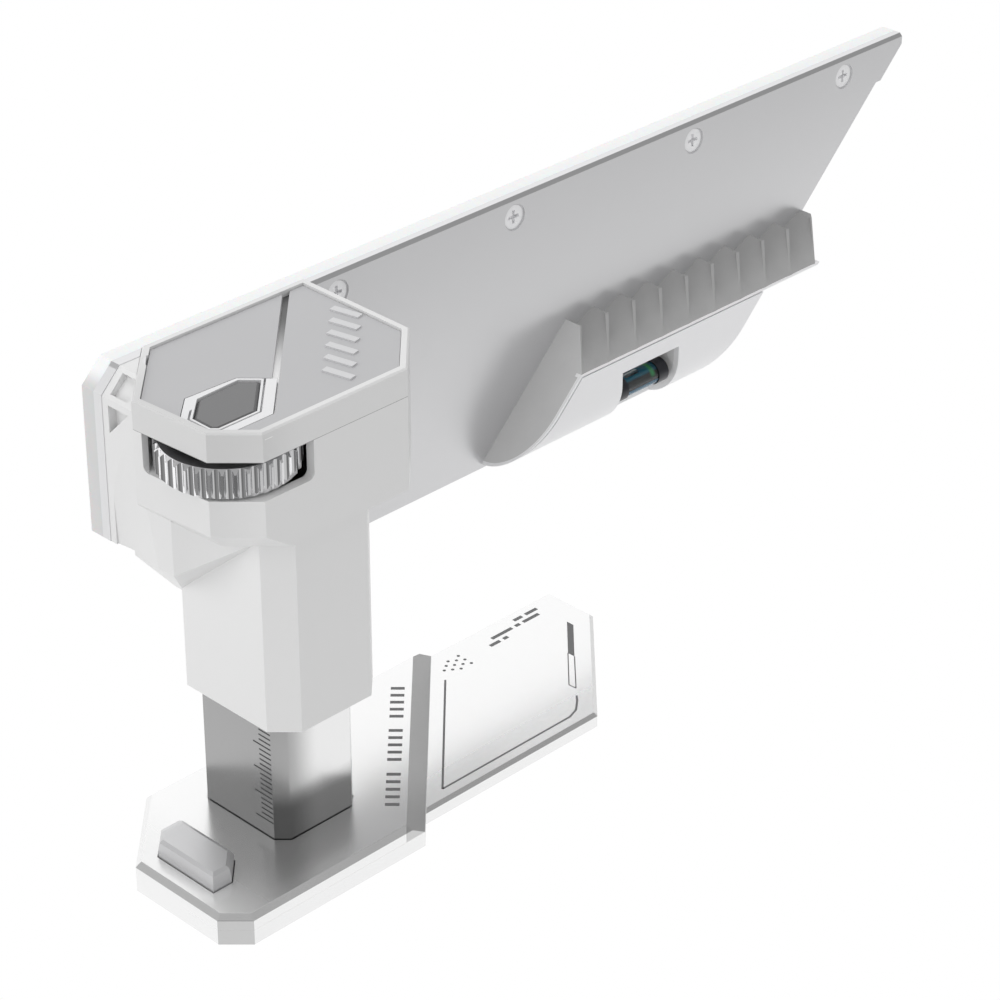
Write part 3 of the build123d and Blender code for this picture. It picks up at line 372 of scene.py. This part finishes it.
def bar_corners(start, end, width, height):
    """Corners of a straight bar between two points of the x-y plane, in millimetres."""
    (x0, y0), (x1, y1) = start, end
    length = math.hypot(x1 - x0, y1 - y0)
    across = Vector(((y0 - y1) / length, (x1 - x0) / length, 0)) * width / 2
    first, last = Vector((x0, y0, height)), Vector((x1, y1, height))
    return [(point + side) * MM for point, side in
            ((first, across), (last, across), (last, -across), (first, -across))]


def sizes():
    """The sizes that a user can change."""
    return bpy.context.scene.bracket_sizes


def colours():
    """The colours that a user can change."""
    return bpy.context.scene.bracket_colours


def length_setting(name, description, default_mm):
    """A size that the user can change."""
    return bpy.props.FloatProperty(
        name=name, description=description, default=default_mm * MM, unit="LENGTH", precision=5)


def colour_setting(name, description, default):
    """A colour that the user can change."""
    return bpy.props.FloatVectorProperty(
        name=name, description=description, default=default, subtype="COLOR")


class BracketSizes(bpy.types.PropertyGroup):
    """Sizes of the printed marks."""

    tick_pitch: length_setting("Tick pitch", "Distance between the column's ruler marks", 1.0)
    tick_width: length_setting("Tick width", "Thickness of one ruler mark", 0.28)
    tick_short: length_setting("Short tick", "Length of a short ruler mark", 2.9)
    tick_long: length_setting("Long tick", "Length of each fifth ruler mark", 4.4)
    tick_count: bpy.props.IntProperty(
        name="Tick count", description="Number of ruler marks on the column", default=32)
    print_height: length_setting("Print height", "How far ink stands on the surface", 0.02)
    dot_radius: length_setting("Dot radius", "Radius of a printed dot", 0.32)
    line_width: length_setting("Line width", "Width of the printed frame line", 0.4)


class BracketColours(bpy.types.PropertyGroup):
    """Colours of the finishes."""

    white: colour_setting("White", "Powder coat of the castings", (0.77, 0.77, 0.78))
    gray: colour_setting("Gray", "Inlays of the cap", (0.50, 0.50, 0.51))
    dark: colour_setting("Dark", "Release button", (0.155, 0.155, 0.158))
    rubber: colour_setting("Rubber", "Toothed pad of the shelf", (0.40, 0.40, 0.402))
    metal: colour_setting("Metal", "Column", (0.84, 0.84, 0.845))
    lacquer: colour_setting("Lacquer", "Lacquered metal of the foot", (0.90, 0.90, 0.905))
    ink: colour_setting("Ink", "Ruler marks", (0.05, 0.05, 0.052))
    marks: colour_setting("Print", "Gray marks printed on the foot", (0.16, 0.16, 0.163))


class BRACKET_OT_foot(bpy.types.Operator):
    """Dress the foot: casting, cover, magnets, rubber pads and the locking button"""

    bl_idname = "bracket.foot"
    bl_label = "Foot"

    button_travel = 1.5
    bareness = 0.88
    corner_painted_shade = 0.33
    edge_painted_shade = 0.16

    def execute(self, context):
        self.dress_casting(tuple(colours().lacquer))
        dress(brushed("sheet_steel", (0.52, 0.52, 0.53), 0.35, (0.04, 1.0, 1.0)), "bottom_cover")
        dress(brushed("screw_steel", (0.55, 0.55, 0.56), 0.28, (1.0, 1.0, 0.2)),
              "cover_screws", "column_screws")
        dress(polished("nickel", (0.66, 0.65, 0.63), 0.16), "base_magnets")
        dress(rubber("foot_rubber", (0.04, 0.04, 0.042)), "foot_pads")
        add_coil("foot_coil", "button_spring", "stand")
        button = lacquer("button_lacquer", shade(tuple(colours().white), 0.84), 0.6, 0.31)
        dress(button.material, "base_button")
        return {"FINISHED"}

    def dress_casting(self, colour):
        """Lacquered metal with painted shade on corner facet, strip and wing's edge, less bare towards the
        front.
        """
        finish = lacquer("foot_lacquer", colour, self.bareness, 0.22)
        x, y, z = finish.axes()
        # Painted shade: the colour is darkened on the corner facet, the sloping strip and the wing's edge.
        corner = x + y < BASE_LEFT + BASE_FRONT + BASE_FRONT_CUT + 2 * SLACK
        strip = (x - y > STRIP_START) * (z > WING_TOP + 0.1) * finish.fade(y, -20.0, -8.0, 0.30, 0.12)
        edge = (y < WING_FRONT + WING_CHAMFER) * (z > WING_TOP - WING_CHAMFER) * (z < WING_TOP - 0.02)
        edge = edge * (x - y > WING_START)
        tone = finish.noise(0.04, 2.0) * 0.02 + colour[0]
        finish.put("Base Color", tone - corner * self.corner_painted_shade - strip - edge * self.edge_painted_shade)
        upper = (z > BASE_TOP - SLACK) * finish.fade(x, -30.0, -14.0, 0.33, 0.0)
        lower = (z > WING_TOP - SLACK) * (z < WING_TOP + SLACK) * finish.fade(y, -18.0, -6.0, 0.43, 0.0)
        finish.put("Metallic", self.bareness - upper - lower)
        dress(finish.material, "base_plate")


class BRACKET_OT_foot_prints(bpy.types.Operator):
    """Print the generic marks on the foot: dots, a frame line, a gauge bar and rows of dashes"""

    bl_idname = "bracket.foot_prints"
    bl_label = "Foot prints"

    dot_corner = (51.4, 10.3)
    dot_pitch = (1.34, 0.87)
    dot_steps = ((4, 4), (2, 4), (3, 3), (1, 3), (4, 2), (2, 2), (0, 2), (3, 1), (1, 1), (4, 0), (2, 0))
    frame_line = ((49.3, 9.6), (24.5, -15.2), (56.8, -15.2), (59.2, -14.4), (61.6, -12.4), (62.7, -11.2))
    gauge_full = ((79.8, 7.8), (72.0, 0.0), (72.0, -1.7), (79.8, 6.1))
    gauge_open = ((72.0, 0.0), (64.3, -7.7), (64.4, -9.4), (72.0, -1.7))
    gauge_line = 0.22
    dash_count = 18
    dash_group = 6  # the last place of each group stays empty
    dash_first = (12.2, -15.4)
    dash_pitch = 1.62
    dash_half = 0.9
    dash_width = 0.85
    words = ((63.4, (2.6, 1.2)), (65.4, (5.4, 1.2, 4.2)), (72.9, (2.2, 3.1)))
    word_width = 0.8
    word_gap = 0.9
    row_first = 12.0
    row_pitch = 1.6

    def execute(self, context):
        values = sizes()
        self.lift = Vector((0, 0, values.print_height))
        self.gray = ink("foot_ink", tuple(colours().marks))
        self.print_dots(values.dot_radius)
        self.print_frame(values.line_width / MM)
        self.print_gauge()
        self.print_dashes()
        return {"FINISHED"}

    def keep(self, name, form):
        """Turn a form into a printed piece on the foot."""
        add_piece(name, form, self.gray, "stand")

    def print_bars(self, form, points, width, height):
        """Add a bar from each point to the next."""
        for start, end in zip(points, points[1:]):
            raise_outline(form, bar_corners(start, end, width, height), self.lift)

    def print_dots(self, radius):
        """A lozenge of round dots."""
        form = bmesh.new()
        for step_x, step_y in self.dot_steps:
            x = self.dot_corner[0] + step_x * self.dot_pitch[0]
            y = self.dot_corner[1] + step_y * self.dot_pitch[1]
            centre = Matrix.Translation(Vector((x, y, WING_TOP)) * MM)
            made = bmesh.ops.create_circle(form, cap_ends=True, segments=20, radius=radius, matrix=centre)
            push_out(form, made["verts"][0].link_faces[0], self.lift)
        self.keep("print_dots", form)

    def print_frame(self, width):
        """The thin line round the wing's middle."""
        form = bmesh.new()
        self.print_bars(form, self.frame_line, width, WING_TOP)
        self.keep("print_frame", form)

    def print_gauge(self):
        """A bar that is half filled."""
        form = bmesh.new()
        raise_outline(form, [Vector((x, y, WING_TOP)) * MM for x, y in self.gauge_full], self.lift)
        self.print_bars(form, self.gauge_open, self.gauge_line, WING_TOP)
        self.keep("print_gauge", form)

    def print_dashes(self):
        """Dashes along the strip in place of a number, and rows on the wing in place of words."""
        form = bmesh.new()
        half = self.dash_half
        for index in range(self.dash_count):
            if index % self.dash_group == self.dash_group - 1:
                continue
            x, y = (first + index * self.dash_pitch for first in self.dash_first)
            self.print_bars(form, ((x - half, y + half), (x + half, y - half)), self.dash_width, BASE_TOP)
        for row, (left, lengths) in enumerate(self.words):
            y = self.row_first + row * self.row_pitch
            for length in lengths:
                self.print_bars(form, ((left, y), (left + length, y)), self.word_width, WING_TOP)
                left += length + self.word_gap
        self.keep("print_dashes", form)


class BRACKET_OT_column(bpy.types.Operator):
    """Dress the column and print its ruler marks"""

    bl_idname = "bracket.column"
    bl_label = "Column"

    ruler_front = -8.62
    first_tick = 3.25
    ticks_to_long = 5

    def execute(self, context):
        values = sizes()
        self.dress_tube(tuple(colours().metal))
        dress(brushed("nut_brass", (0.70, 0.52, 0.25), 0.3, (1.0, 1.0, 0.3)), "lead_nut")
        side = COLUMN_LEFT * MM
        front = self.ruler_front * MM
        marks = bmesh.new()
        lift = Vector((-values.print_height, 0, 0))
        half = values.tick_width / 2
        for index in range(values.tick_count):
            height = (BASE_TOP + self.first_tick) * MM + index * values.tick_pitch
            end = front + (values.tick_short if index % self.ticks_to_long else values.tick_long)
            corners = [(side, front, height - half), (side, end, height - half),
                       (side, end, height + half), (side, front, height + half)]
            raise_outline(marks, corners, lift)
        add_piece("ruler_marks", marks, ink("ruler_ink", tuple(colours().ink)), "stand")
        return {"FINISHED"}

    def dress_tube(self, metal):
        """Satin drawn metal, with painted shade darkening its left side and a painted reflection of the
        foot darkening its front low down.
        """
        finish = Finish("column_satin", metal, Metallic=1.0, Roughness=0.2)
        scratches = finish.noise(9.0, 4.0, 0.6, (1.0, 1.0, 0.02))
        x, y, z = finish.axes()
        # Painted shade towards the left side; below it, a painted reflection of the foot on the front.
        tone = finish.fade(x, -7.5, 0.0, metal[0] * 0.48, metal[0])
        low = finish.fade(z, 12.0, 16.5, 0.5, 0.0) * (y < -8.7)
        finish.put("Base Color", tone * (1.0 - low) * (scratches * 0.06 + 0.97))
        finish.vary_roughness(scratches, 0.17, 0.26)
        finish.bump(scratches, 0.0003)
        dress(finish.material, "column")


class BRACKET_OT_head(bpy.types.Operator):
    """Dress the head's casting, its cap and the frame round the release button"""

    bl_idname = "bracket.head"
    bl_label = "Head"

    rim_line = ((-6.58, 21.25), (-18.54, 8.24))
    rim_rise = 1.29
    screw_place = (-9.0, 16.0)
    liner_half = 2.8
    liner_depth = 0.75
    liner_proud = 0.02
    bar_count = 6
    bar_first = (25.0, 7.4)
    bar_step = (3.15, 3.05)
    bar_half = (0.62, -2.8)
    bar_width = 1.5
    bar_rise = 0.3
    seam_shadow_height = 0.09
    groove_half = 0.8
    release_travel = 1.0

    def execute(self, context):
        white = tuple(colours().white)
        self.dress_castings(white)
        dress(paint("bezel_coat", shade(white, 1.06), 0.3), "button_bezel")
        dress(moulded("inlay_gray", tuple(colours().gray), 0.42, 0.002), "inlay_left", "inlay_right")
        dress(moulded("button_dark", tuple(colours().dark), 0.34, 0.002), "release_button")
        dress(brushed("cap_screw_steel", (0.55, 0.55, 0.56), 0.28, (1.0, 1.0, 0.2)),
              "cap_screws", "bearing_screws", "mount_screws", "shelf_screws")
        add_coil("cap_coil", "release_spring", "head")
        self.raise_emblem()
        self.mend_rim()
        return {"FINISHED"}

    def dress_castings(self, white):
        """Powder coat on head and cap, with painted shade on their left sides, a painted shadow line along
        the seam between them and a metal groove in the cap whose painted reflection runs from white to
        near black.
        """
        head = paint_finish("head_coat", white)
        x, _, _ = head.axes()
        # Painted shade: the head's coat is darker towards its left side.
        head.put("Base Color", head.fade(x, CAP_LEFT, -12.0, 0.95, 1.03) * white[0])
        dress(head.material, "head_housing")

        cap = paint_finish("cap_coat", white)
        x, y, z = cap.axes()
        # Painted shadow: a dark band along the cap's lower edge stands in for the gap between cap and
        # housing.
        seam_shadow = z < CAP_BOTTOM + self.seam_shadow_height
        groove = ((x - y - GROOVE_MIDDLE).size() < self.groove_half) * ((z - RECESS_FLOOR).size() < SLACK)
        # Painted reflection: the groove's colour runs from white at one end to near black at the other.
        metal = cap.fade(x + y, 0.0, 34.0, 1.0, 0.10)
        # Painted shade: the cap's coat is darker towards its left side.
        coat = cap.fade(x, -19.0, -4.0, 0.84, 1.0) * white[0]
        cap.put("Base Color", cap.mix(seam_shadow, cap.mix(groove, coat, metal), (0.30, 0.30, 0.305, 1.0)))
        dress(cap.material, "cap")

    def mend_rim(self):
        """Thin liner inside the cap's rim, where a screw's recess cuts into it."""
        start, end = (Vector(corner) for corner in self.rim_line)
        along = (end - start).normalized()
        outward = Vector((along.y, -along.x))
        foot = start + along * (Vector(self.screw_place) - start).dot(along)
        inner = foot - outward * self.liner_proud
        outer = foot + outward * self.liner_depth
        half = along * self.liner_half
        corners = [inner - half, inner + half, outer + half, outer - half]
        form = bmesh.new()
        raise_outline(form, [Vector((*corner, RECESS_FLOOR)) * MM for corner in corners],
                      Vector((0, 0, self.rim_rise * MM)))
        add_piece("rim_liner", form, paint("liner_coat", tuple(colours().white)), "head")

    def raise_emblem(self):
        """Plain slanted bars raised from the cap's right inlay."""
        form = bmesh.new()
        lift = Vector((0, 0, self.bar_rise * MM))
        half = Vector(self.bar_half)
        for index in range(self.bar_count):
            middle = Vector(self.bar_first) - Vector(self.bar_step) * index
            raise_outline(form, bar_corners(middle - half, middle + half, self.bar_width, INLAY_TOP), lift)
        gray = moulded("bars_gray", (0.66, 0.66, 0.67), 0.36, 0.002)
        add_piece("cap_bars", form, gray, "head")


class BRACKET_OT_drive(bpy.types.Operator):
    """Dress the thumb wheel, the gears, the lead screw and what carries them"""

    bl_idname = "bracket.drive"
    bl_label = "Drive"

    def execute(self, context):
        dress(polished("wheel_chrome", (0.93, 0.93, 0.94), 0.06), "thumb_wheel")
        dress(brushed("gear_brass", (0.70, 0.52, 0.25), 0.3, (1.0, 1.0, 0.3)), "wheel_gear", "screw_gear")
        dress(brushed("screw_bar", (0.56, 0.56, 0.57), 0.25, (1.0, 1.0, 4.0)), "lead_screw", "wheel_pin")
        dress(brushed("bearing_steel", (0.50, 0.50, 0.51), 0.3, (0.05, 1.0, 1.0)), "bearing_plate")
        dress(moulded("liner_plastic", (0.70, 0.70, 0.68), 0.45), "slide_liner")
        return {"FINISHED"}


class BRACKET_OT_arm(bpy.types.Operator):
    """Dress the arm: front plate, rear panel, its light board, socket and screws"""

    bl_idname = "bracket.arm"
    bl_label = "Arm"

    def execute(self, context):
        white = tuple(colours().white)
        self.dress_plate(white)
        self.dress_panel(white)
        dress(moulded("board_green", (0.03, 0.12, 0.06), 0.35), "light_board")
        dress(moulded("socket_white", (0.72, 0.71, 0.66), 0.4), "cable_socket")
        dress(paint("screw_coat", shade(white, 1.24), 0.22, 0.001, 0.4), "arm_screws")
        return {"FINISHED"}

    def dress_panel(self, white):
        """Milky plastic that lets some light in, with painted shade making the panel's left end grayer."""
        finish = Finish("panel_milky", shade(white, 1.2), Roughness=0.32, Subsurface_Weight=0.2,
                        Subsurface_Scale=0.004, Specular_IOR_Level=0.5)
        haze = finish.noise(0.12, 3.0)
        x, _, _ = finish.axes()
        # Painted shade: the panel's left end is grayer.
        end = finish.fade(x, ARM_LEFT, ARM_LEFT + 2.7, 0.68, 1.0)
        finish.put("Base Color", (haze * 0.04 + 1.18) * end * white[0])
        finish.bump(finish.noise(3.0, 2.0), 0.002)
        dress(finish.material, "arm_panel")

    def dress_plate(self, white):
        """Pearl paint on the front plate, with its cut top edge left as bare metal."""
        finish = lacquer("arm_pearl", shade(white, 0.93), 0.7, 0.31)
        _, depth, height = finish.axes()
        bare = height > ARM_TOP - ARM_CHAMFER
        front = depth < ARM_FRONT + SLACK
        finish.put("Metallic", (bare * 0.9 + front * 0.6).cap_at(0.9) + 0.1)
        dress(finish.material, "arm_plate")


class BRACKET_OT_shelf(bpy.types.Operator):
    """Dress the shelf: toothed rubber pad, bright lip and white cover"""

    bl_idname = "bracket.shelf"
    bl_label = "Shelf"

    def execute(self, context):
        white = tuple(colours().white)
        self.dress_pad(colours().rubber[0])
        dress(paint("lip_coat", shade(white, 1.24), 0.3), "shelf_lip")
        dress(paint("cover_coat", shade(white, 1.24), 0.32), "shelf_cover")
        return {"FINISHED"}

    def dress_pad(self, tone):
        """Fine-grained rubber, paler on the slanted end by painted light, and paler round the level's
        window.
        """
        finish = Finish("pad_rubber", (tone, tone, tone), Roughness=0.62, Specular_IOR_Level=0.35)
        pebble = finish.noise(6.0, 3.0, 0.6)
        x, _, z = finish.axes()
        end = x - z < PAD_END + SLACK
        window = ((x - WINDOW_MIDDLE).size() < WINDOW_HALF + SLACK) * (z < WINDOW_TOP + SLACK)
        # Painted light makes the slanted end paler; the pad is also paler round the level's window.
        lit_end_and_pale_window = (end * 0.6 + window).cap_at(1.0)
        drift = finish.noise(0.25, 4.0) * 0.05 + tone
        finish.put("Base Color", drift + lit_end_and_pale_window * (0.78 - tone))
        finish.vary_roughness(pebble, 0.56, 0.72)
        finish.bump(pebble, 0.008)
        dress(finish.material, "shelf_pad")


class BRACKET_OT_level(bpy.types.Operator):
    """Dress the spirit level: glass, tinted liquid and dark sleeves"""

    bl_idname = "bracket.level"
    bl_label = "Level"

    widening = 1.03
    liquid_radius = 1.75
    glint_x = 106.3

    def execute(self, context):
        dress(clear("vial_glass", (0.90, 0.96, 0.98), 1.47), "vial_tube")
        self.fill_vial()
        dress(moulded("sleeve_dark", (0.013, 0.014, 0.020), 0.3, 0.002), "vial_caps")
        return {"FINISHED"}

    def fill_vial(self):
        """The CAD liquid, a hair wider, so that no air shows between it and the glass."""
        form = copy_form("vial_liquid")
        to_axis = Matrix.Translation(Vector((0, -VIAL_Y, -VIAL_Z)) * MM)
        bmesh.ops.scale(form, verts=form.verts, vec=(1.0, self.widening, self.widening), space=to_axis)
        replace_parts(add_piece("vial_filling", form, self.liquid(), "head"), "vial_liquid")

    def liquid(self):
        """Tinted liquid with painted refraction bands: blue below, a dark line, smoky in the middle, teal
        on top with a painted green glint.
        """
        finish = Finish("vial_fluid", (0.01, 0.12, 0.20), Roughness=0.05, IOR=1.36,
                        Transmission_Weight=0.1)
        x, _, z = finish.axes()
        tint = finish.mix(finish.noise(0.5, 2.0, 0.5, (1.0, 1.0, 2.0)), (0.005, 0.08, 0.20, 1.0),
                          (0.01, 0.24, 0.28, 1.0))
        level = (z - (VIAL_Z - self.liquid_radius)) / (2 * self.liquid_radius)
        blue, deep_blue = (0.03, 0.20, 0.36, 1.0), (0.02, 0.16, 0.28, 1.0)
        # Painted refraction and reflection: bands by height stand in for how the tube bends and mirrors
        # light.
        painted_refraction_bands = finish.ramp(level, (
            (0.0, blue), (0.36, deep_blue), (0.39, 0.004), (0.43, 0.006), (0.46, 0.10), (0.62, 0.055),
            (0.82, 0.025)))
        upper = finish.fade(level, 0.80, 0.90, 0.0, 1.0)
        beside = finish.fade((x - self.glint_x).size(), 0.0, 0.9, 1.0, 0.0)
        glint = beside * finish.fade(level, 0.5, 0.8, 0.0, 1.0)
        colour = finish.mix(upper, painted_refraction_bands, tint)
        finish.put("Base Color", finish.mix(glint, colour, (0.05, 0.42, 0.12, 1.0)))
        return finish.material


class BRACKET_OT_stage(bpy.types.Operator):
    """Set the pale floor, the soft studio light and the camera"""

    bl_idname = "bracket.stage"
    bl_label = "Stage"

    lamps = (
        # name, place, size in metres, power in watts, seen in mirrors
        ("key", (-1.0, 0.45, 0.6), 0.8, 3.2, False),
        ("top", (0.1, 0.1, 1.2), 0.9, 3.9, True),
        ("fill", (-1.0, -0.25, 0.12), 0.5, 1.3, True),
    )
    aim = (0.05, 0.0, 0.05)
    floor_half = 4.0
    floor_drop = 0.0002
    room_light = 0.62
    bright_wall = (0.35, 0.70, 0.62)
    camera_place = (-0.3118, -0.3658, 0.3424)
    camera_tilt = 60.0
    camera_turn = -45.0
    camera_lens = 120.8

    def execute(self, context):
        self.lay_floor()
        self.light_room()
        self.place_camera(context)
        context.scene.view_settings.view_transform = "Standard"
        return {"FINISHED"}

    def lay_floor(self):
        """Wide pale floor that keeps a faint shadow and looks white to the camera; in mirrors its glow is
        dimmed by painted shade towards the left and the front.
        """
        form = bmesh.new()
        bmesh.ops.create_grid(form, x_segments=1, y_segments=1, size=self.floor_half,
                              matrix=Matrix.Translation((0, 0, -self.floor_drop)))
        mesh = bpy.data.meshes.new("floor")
        form.to_mesh(mesh)
        form.free()
        floor = bpy.data.objects.new("floor", mesh)
        bpy.context.scene.collection.objects.link(floor)
        finish = Finish("floor_white", (0.9, 0.9, 0.9), Roughness=0.9)
        tree = finish.tree
        camera = finish.node("ShaderNodeLightPath", output="Is Camera Ray")
        glossy = finish.node("ShaderNodeLightPath", output="Is Glossy Ray")
        through = finish.node("ShaderNodeLightPath", output="Is Transmission Ray")
        x, y, _ = finish.axes()
        # Painted shade: in mirrors the floor glows less towards the left and the front.
        left = finish.fade(x, -82.0, -32.0, 0.75, 0.0) * finish.fade(y, 20.0, 60.0, 1.0, 0.0)
        front = finish.fade(y, -150.0, -45.0, 0.45, 0.0)
        mirrored = (1.0 - left) * (1.0 - front)
        strength = 1.0 - glossy * (1.0 - mirrored)
        shine = {"Color": (1.0, 1.0, 1.0, 1.0), "Strength": strength}
        glow = finish.node("ShaderNodeEmission", values=shine)
        blend = tree.nodes.new("ShaderNodeMixShader")
        tree.links.new((camera + glossy + through).cap_at(1.0).socket, blend.inputs[0])
        tree.links.new(finish.shader.outputs[0], blend.inputs[1])
        tree.links.new(glow.socket, blend.inputs[2])
        tree.links.new(blend.outputs[0], tree.nodes["Material Output"].inputs["Surface"])
        mesh.materials.append(finish.material)

    def light_room(self):
        """White room with a large soft key from the left, one from above and a low fill."""
        world = bpy.data.worlds.new("room")
        bpy.context.scene.world = world
        world.use_nodes = True
        tree = world.node_tree
        background = tree.nodes["Background"]
        background.inputs["Color"].default_value = (1.0, 1.0, 1.0, 1.0)
        path = tree.nodes.new("ShaderNodeLightPath")
        wall = self.mirrored_room(tree)
        strength = self.pick(tree, path.outputs["Is Glossy Ray"], self.room_light, wall)
        strength = self.pick(tree, path.outputs["Is Camera Ray"], strength, 1.0)
        strength = self.pick(tree, path.outputs["Is Transmission Ray"], strength, 1.0)
        tree.links.new(strength, background.inputs["Strength"])
        for name, place, size, power, mirrored in self.lamps:
            lamp = bpy.data.lights.new(name, "AREA")
            lamp.size = size
            lamp.energy = power
            holder = bpy.data.objects.new(name, lamp)
            holder.location = place
            holder.visible_glossy = mirrored
            holder.rotation_euler = (Vector(self.aim) - Vector(place)).to_track_quat("-Z", "Y").to_euler()
            bpy.context.scene.collection.objects.link(holder)

    def mirrored_room(self, tree):
        """What metal mirrors: a bright wall behind the object that fades to a gray one in front."""
        coordinates = tree.nodes.new("ShaderNodeTexCoord")
        dot = tree.nodes.new("ShaderNodeVectorMath")
        dot.operation = "DOT_PRODUCT"
        tree.links.new(coordinates.outputs["Generated"], dot.inputs[0])
        dot.inputs[1].default_value = Vector(self.bright_wall).normalized()
        wall = tree.nodes.new("ShaderNodeMapRange")
        wall.interpolation_type = "SMOOTHSTEP"
        tree.links.new(dot.outputs["Value"], wall.inputs["Value"])
        for socket, value in (("From Min", 0.52), ("From Max", 0.9), ("To Min", 0.36), ("To Max", 1.1)):
            wall.inputs[socket].default_value = value
        return wall.outputs["Result"]

    def pick(self, tree, switch, otherwise, chosen):
        """Strength that is one value where the switch is on and another where it is off."""
        mix = tree.nodes.new("ShaderNodeMix")
        tree.links.new(switch, mix.inputs[0])
        for index, value in ((2, otherwise), (3, chosen)):
            if isinstance(value, float):
                mix.inputs[index].default_value = value
            else:
                tree.links.new(value, mix.inputs[index])
        return mix.outputs[0]

    def place_camera(self, context):
        """Camera at the photograph's angle, distance and lens."""
        lens = bpy.data.cameras.new("camera")
        lens.sensor_fit = "HORIZONTAL"
        lens.sensor_width = 36.0
        lens.lens = self.camera_lens
        lens.clip_start = 0.01
        camera = bpy.data.objects.new("camera", lens)
        camera.location = self.camera_place
        camera.rotation_euler = (math.radians(self.camera_tilt), 0.0, math.radians(self.camera_turn))
        context.scene.collection.objects.link(camera)
        context.scene.camera = camera


class BRACKET_PT_panel(bpy.types.Panel):
    """Buttons and settings of the bracket"""

    bl_label = "Support bracket"
    bl_idname = "BRACKET_PT_panel"
    bl_space_type = "VIEW_3D"
    bl_region_type = "UI"
    bl_category = "Bracket"

    def draw(self, context):
        for operator in OPERATORS:
            self.layout.operator(operator.bl_idname)
        for group in (context.scene.bracket_sizes, context.scene.bracket_colours):
            for name in group.__annotations__:
                self.layout.prop(group, name)


OPERATORS = (
    BRACKET_OT_foot,
    BRACKET_OT_foot_prints,
    BRACKET_OT_column,
    BRACKET_OT_head,
    BRACKET_OT_drive,
    BRACKET_OT_arm,
    BRACKET_OT_shelf,
    BRACKET_OT_level,
    BRACKET_OT_stage,
)
CLASSES = (BracketSizes, BracketColours, *OPERATORS, BRACKET_PT_panel)


def register():
    for item in CLASSES:
        bpy.utils.register_class(item)
    bpy.types.Scene.bracket_sizes = bpy.props.PointerProperty(type=BracketSizes)
    bpy.types.Scene.bracket_colours = bpy.props.PointerProperty(type=BracketColours)


def unregister():
    del bpy.types.Scene.bracket_colours
    del bpy.types.Scene.bracket_sizes
    for item in reversed(CLASSES):
        bpy.utils.unregister_class(item)


def main():
    """Register the add-on and make every piece."""
    register()
    for operator in OPERATORS:
        group, name = operator.bl_idname.split(".")
        getattr(getattr(bpy.ops, group), name)()


if __name__ == "__main__":
    main()
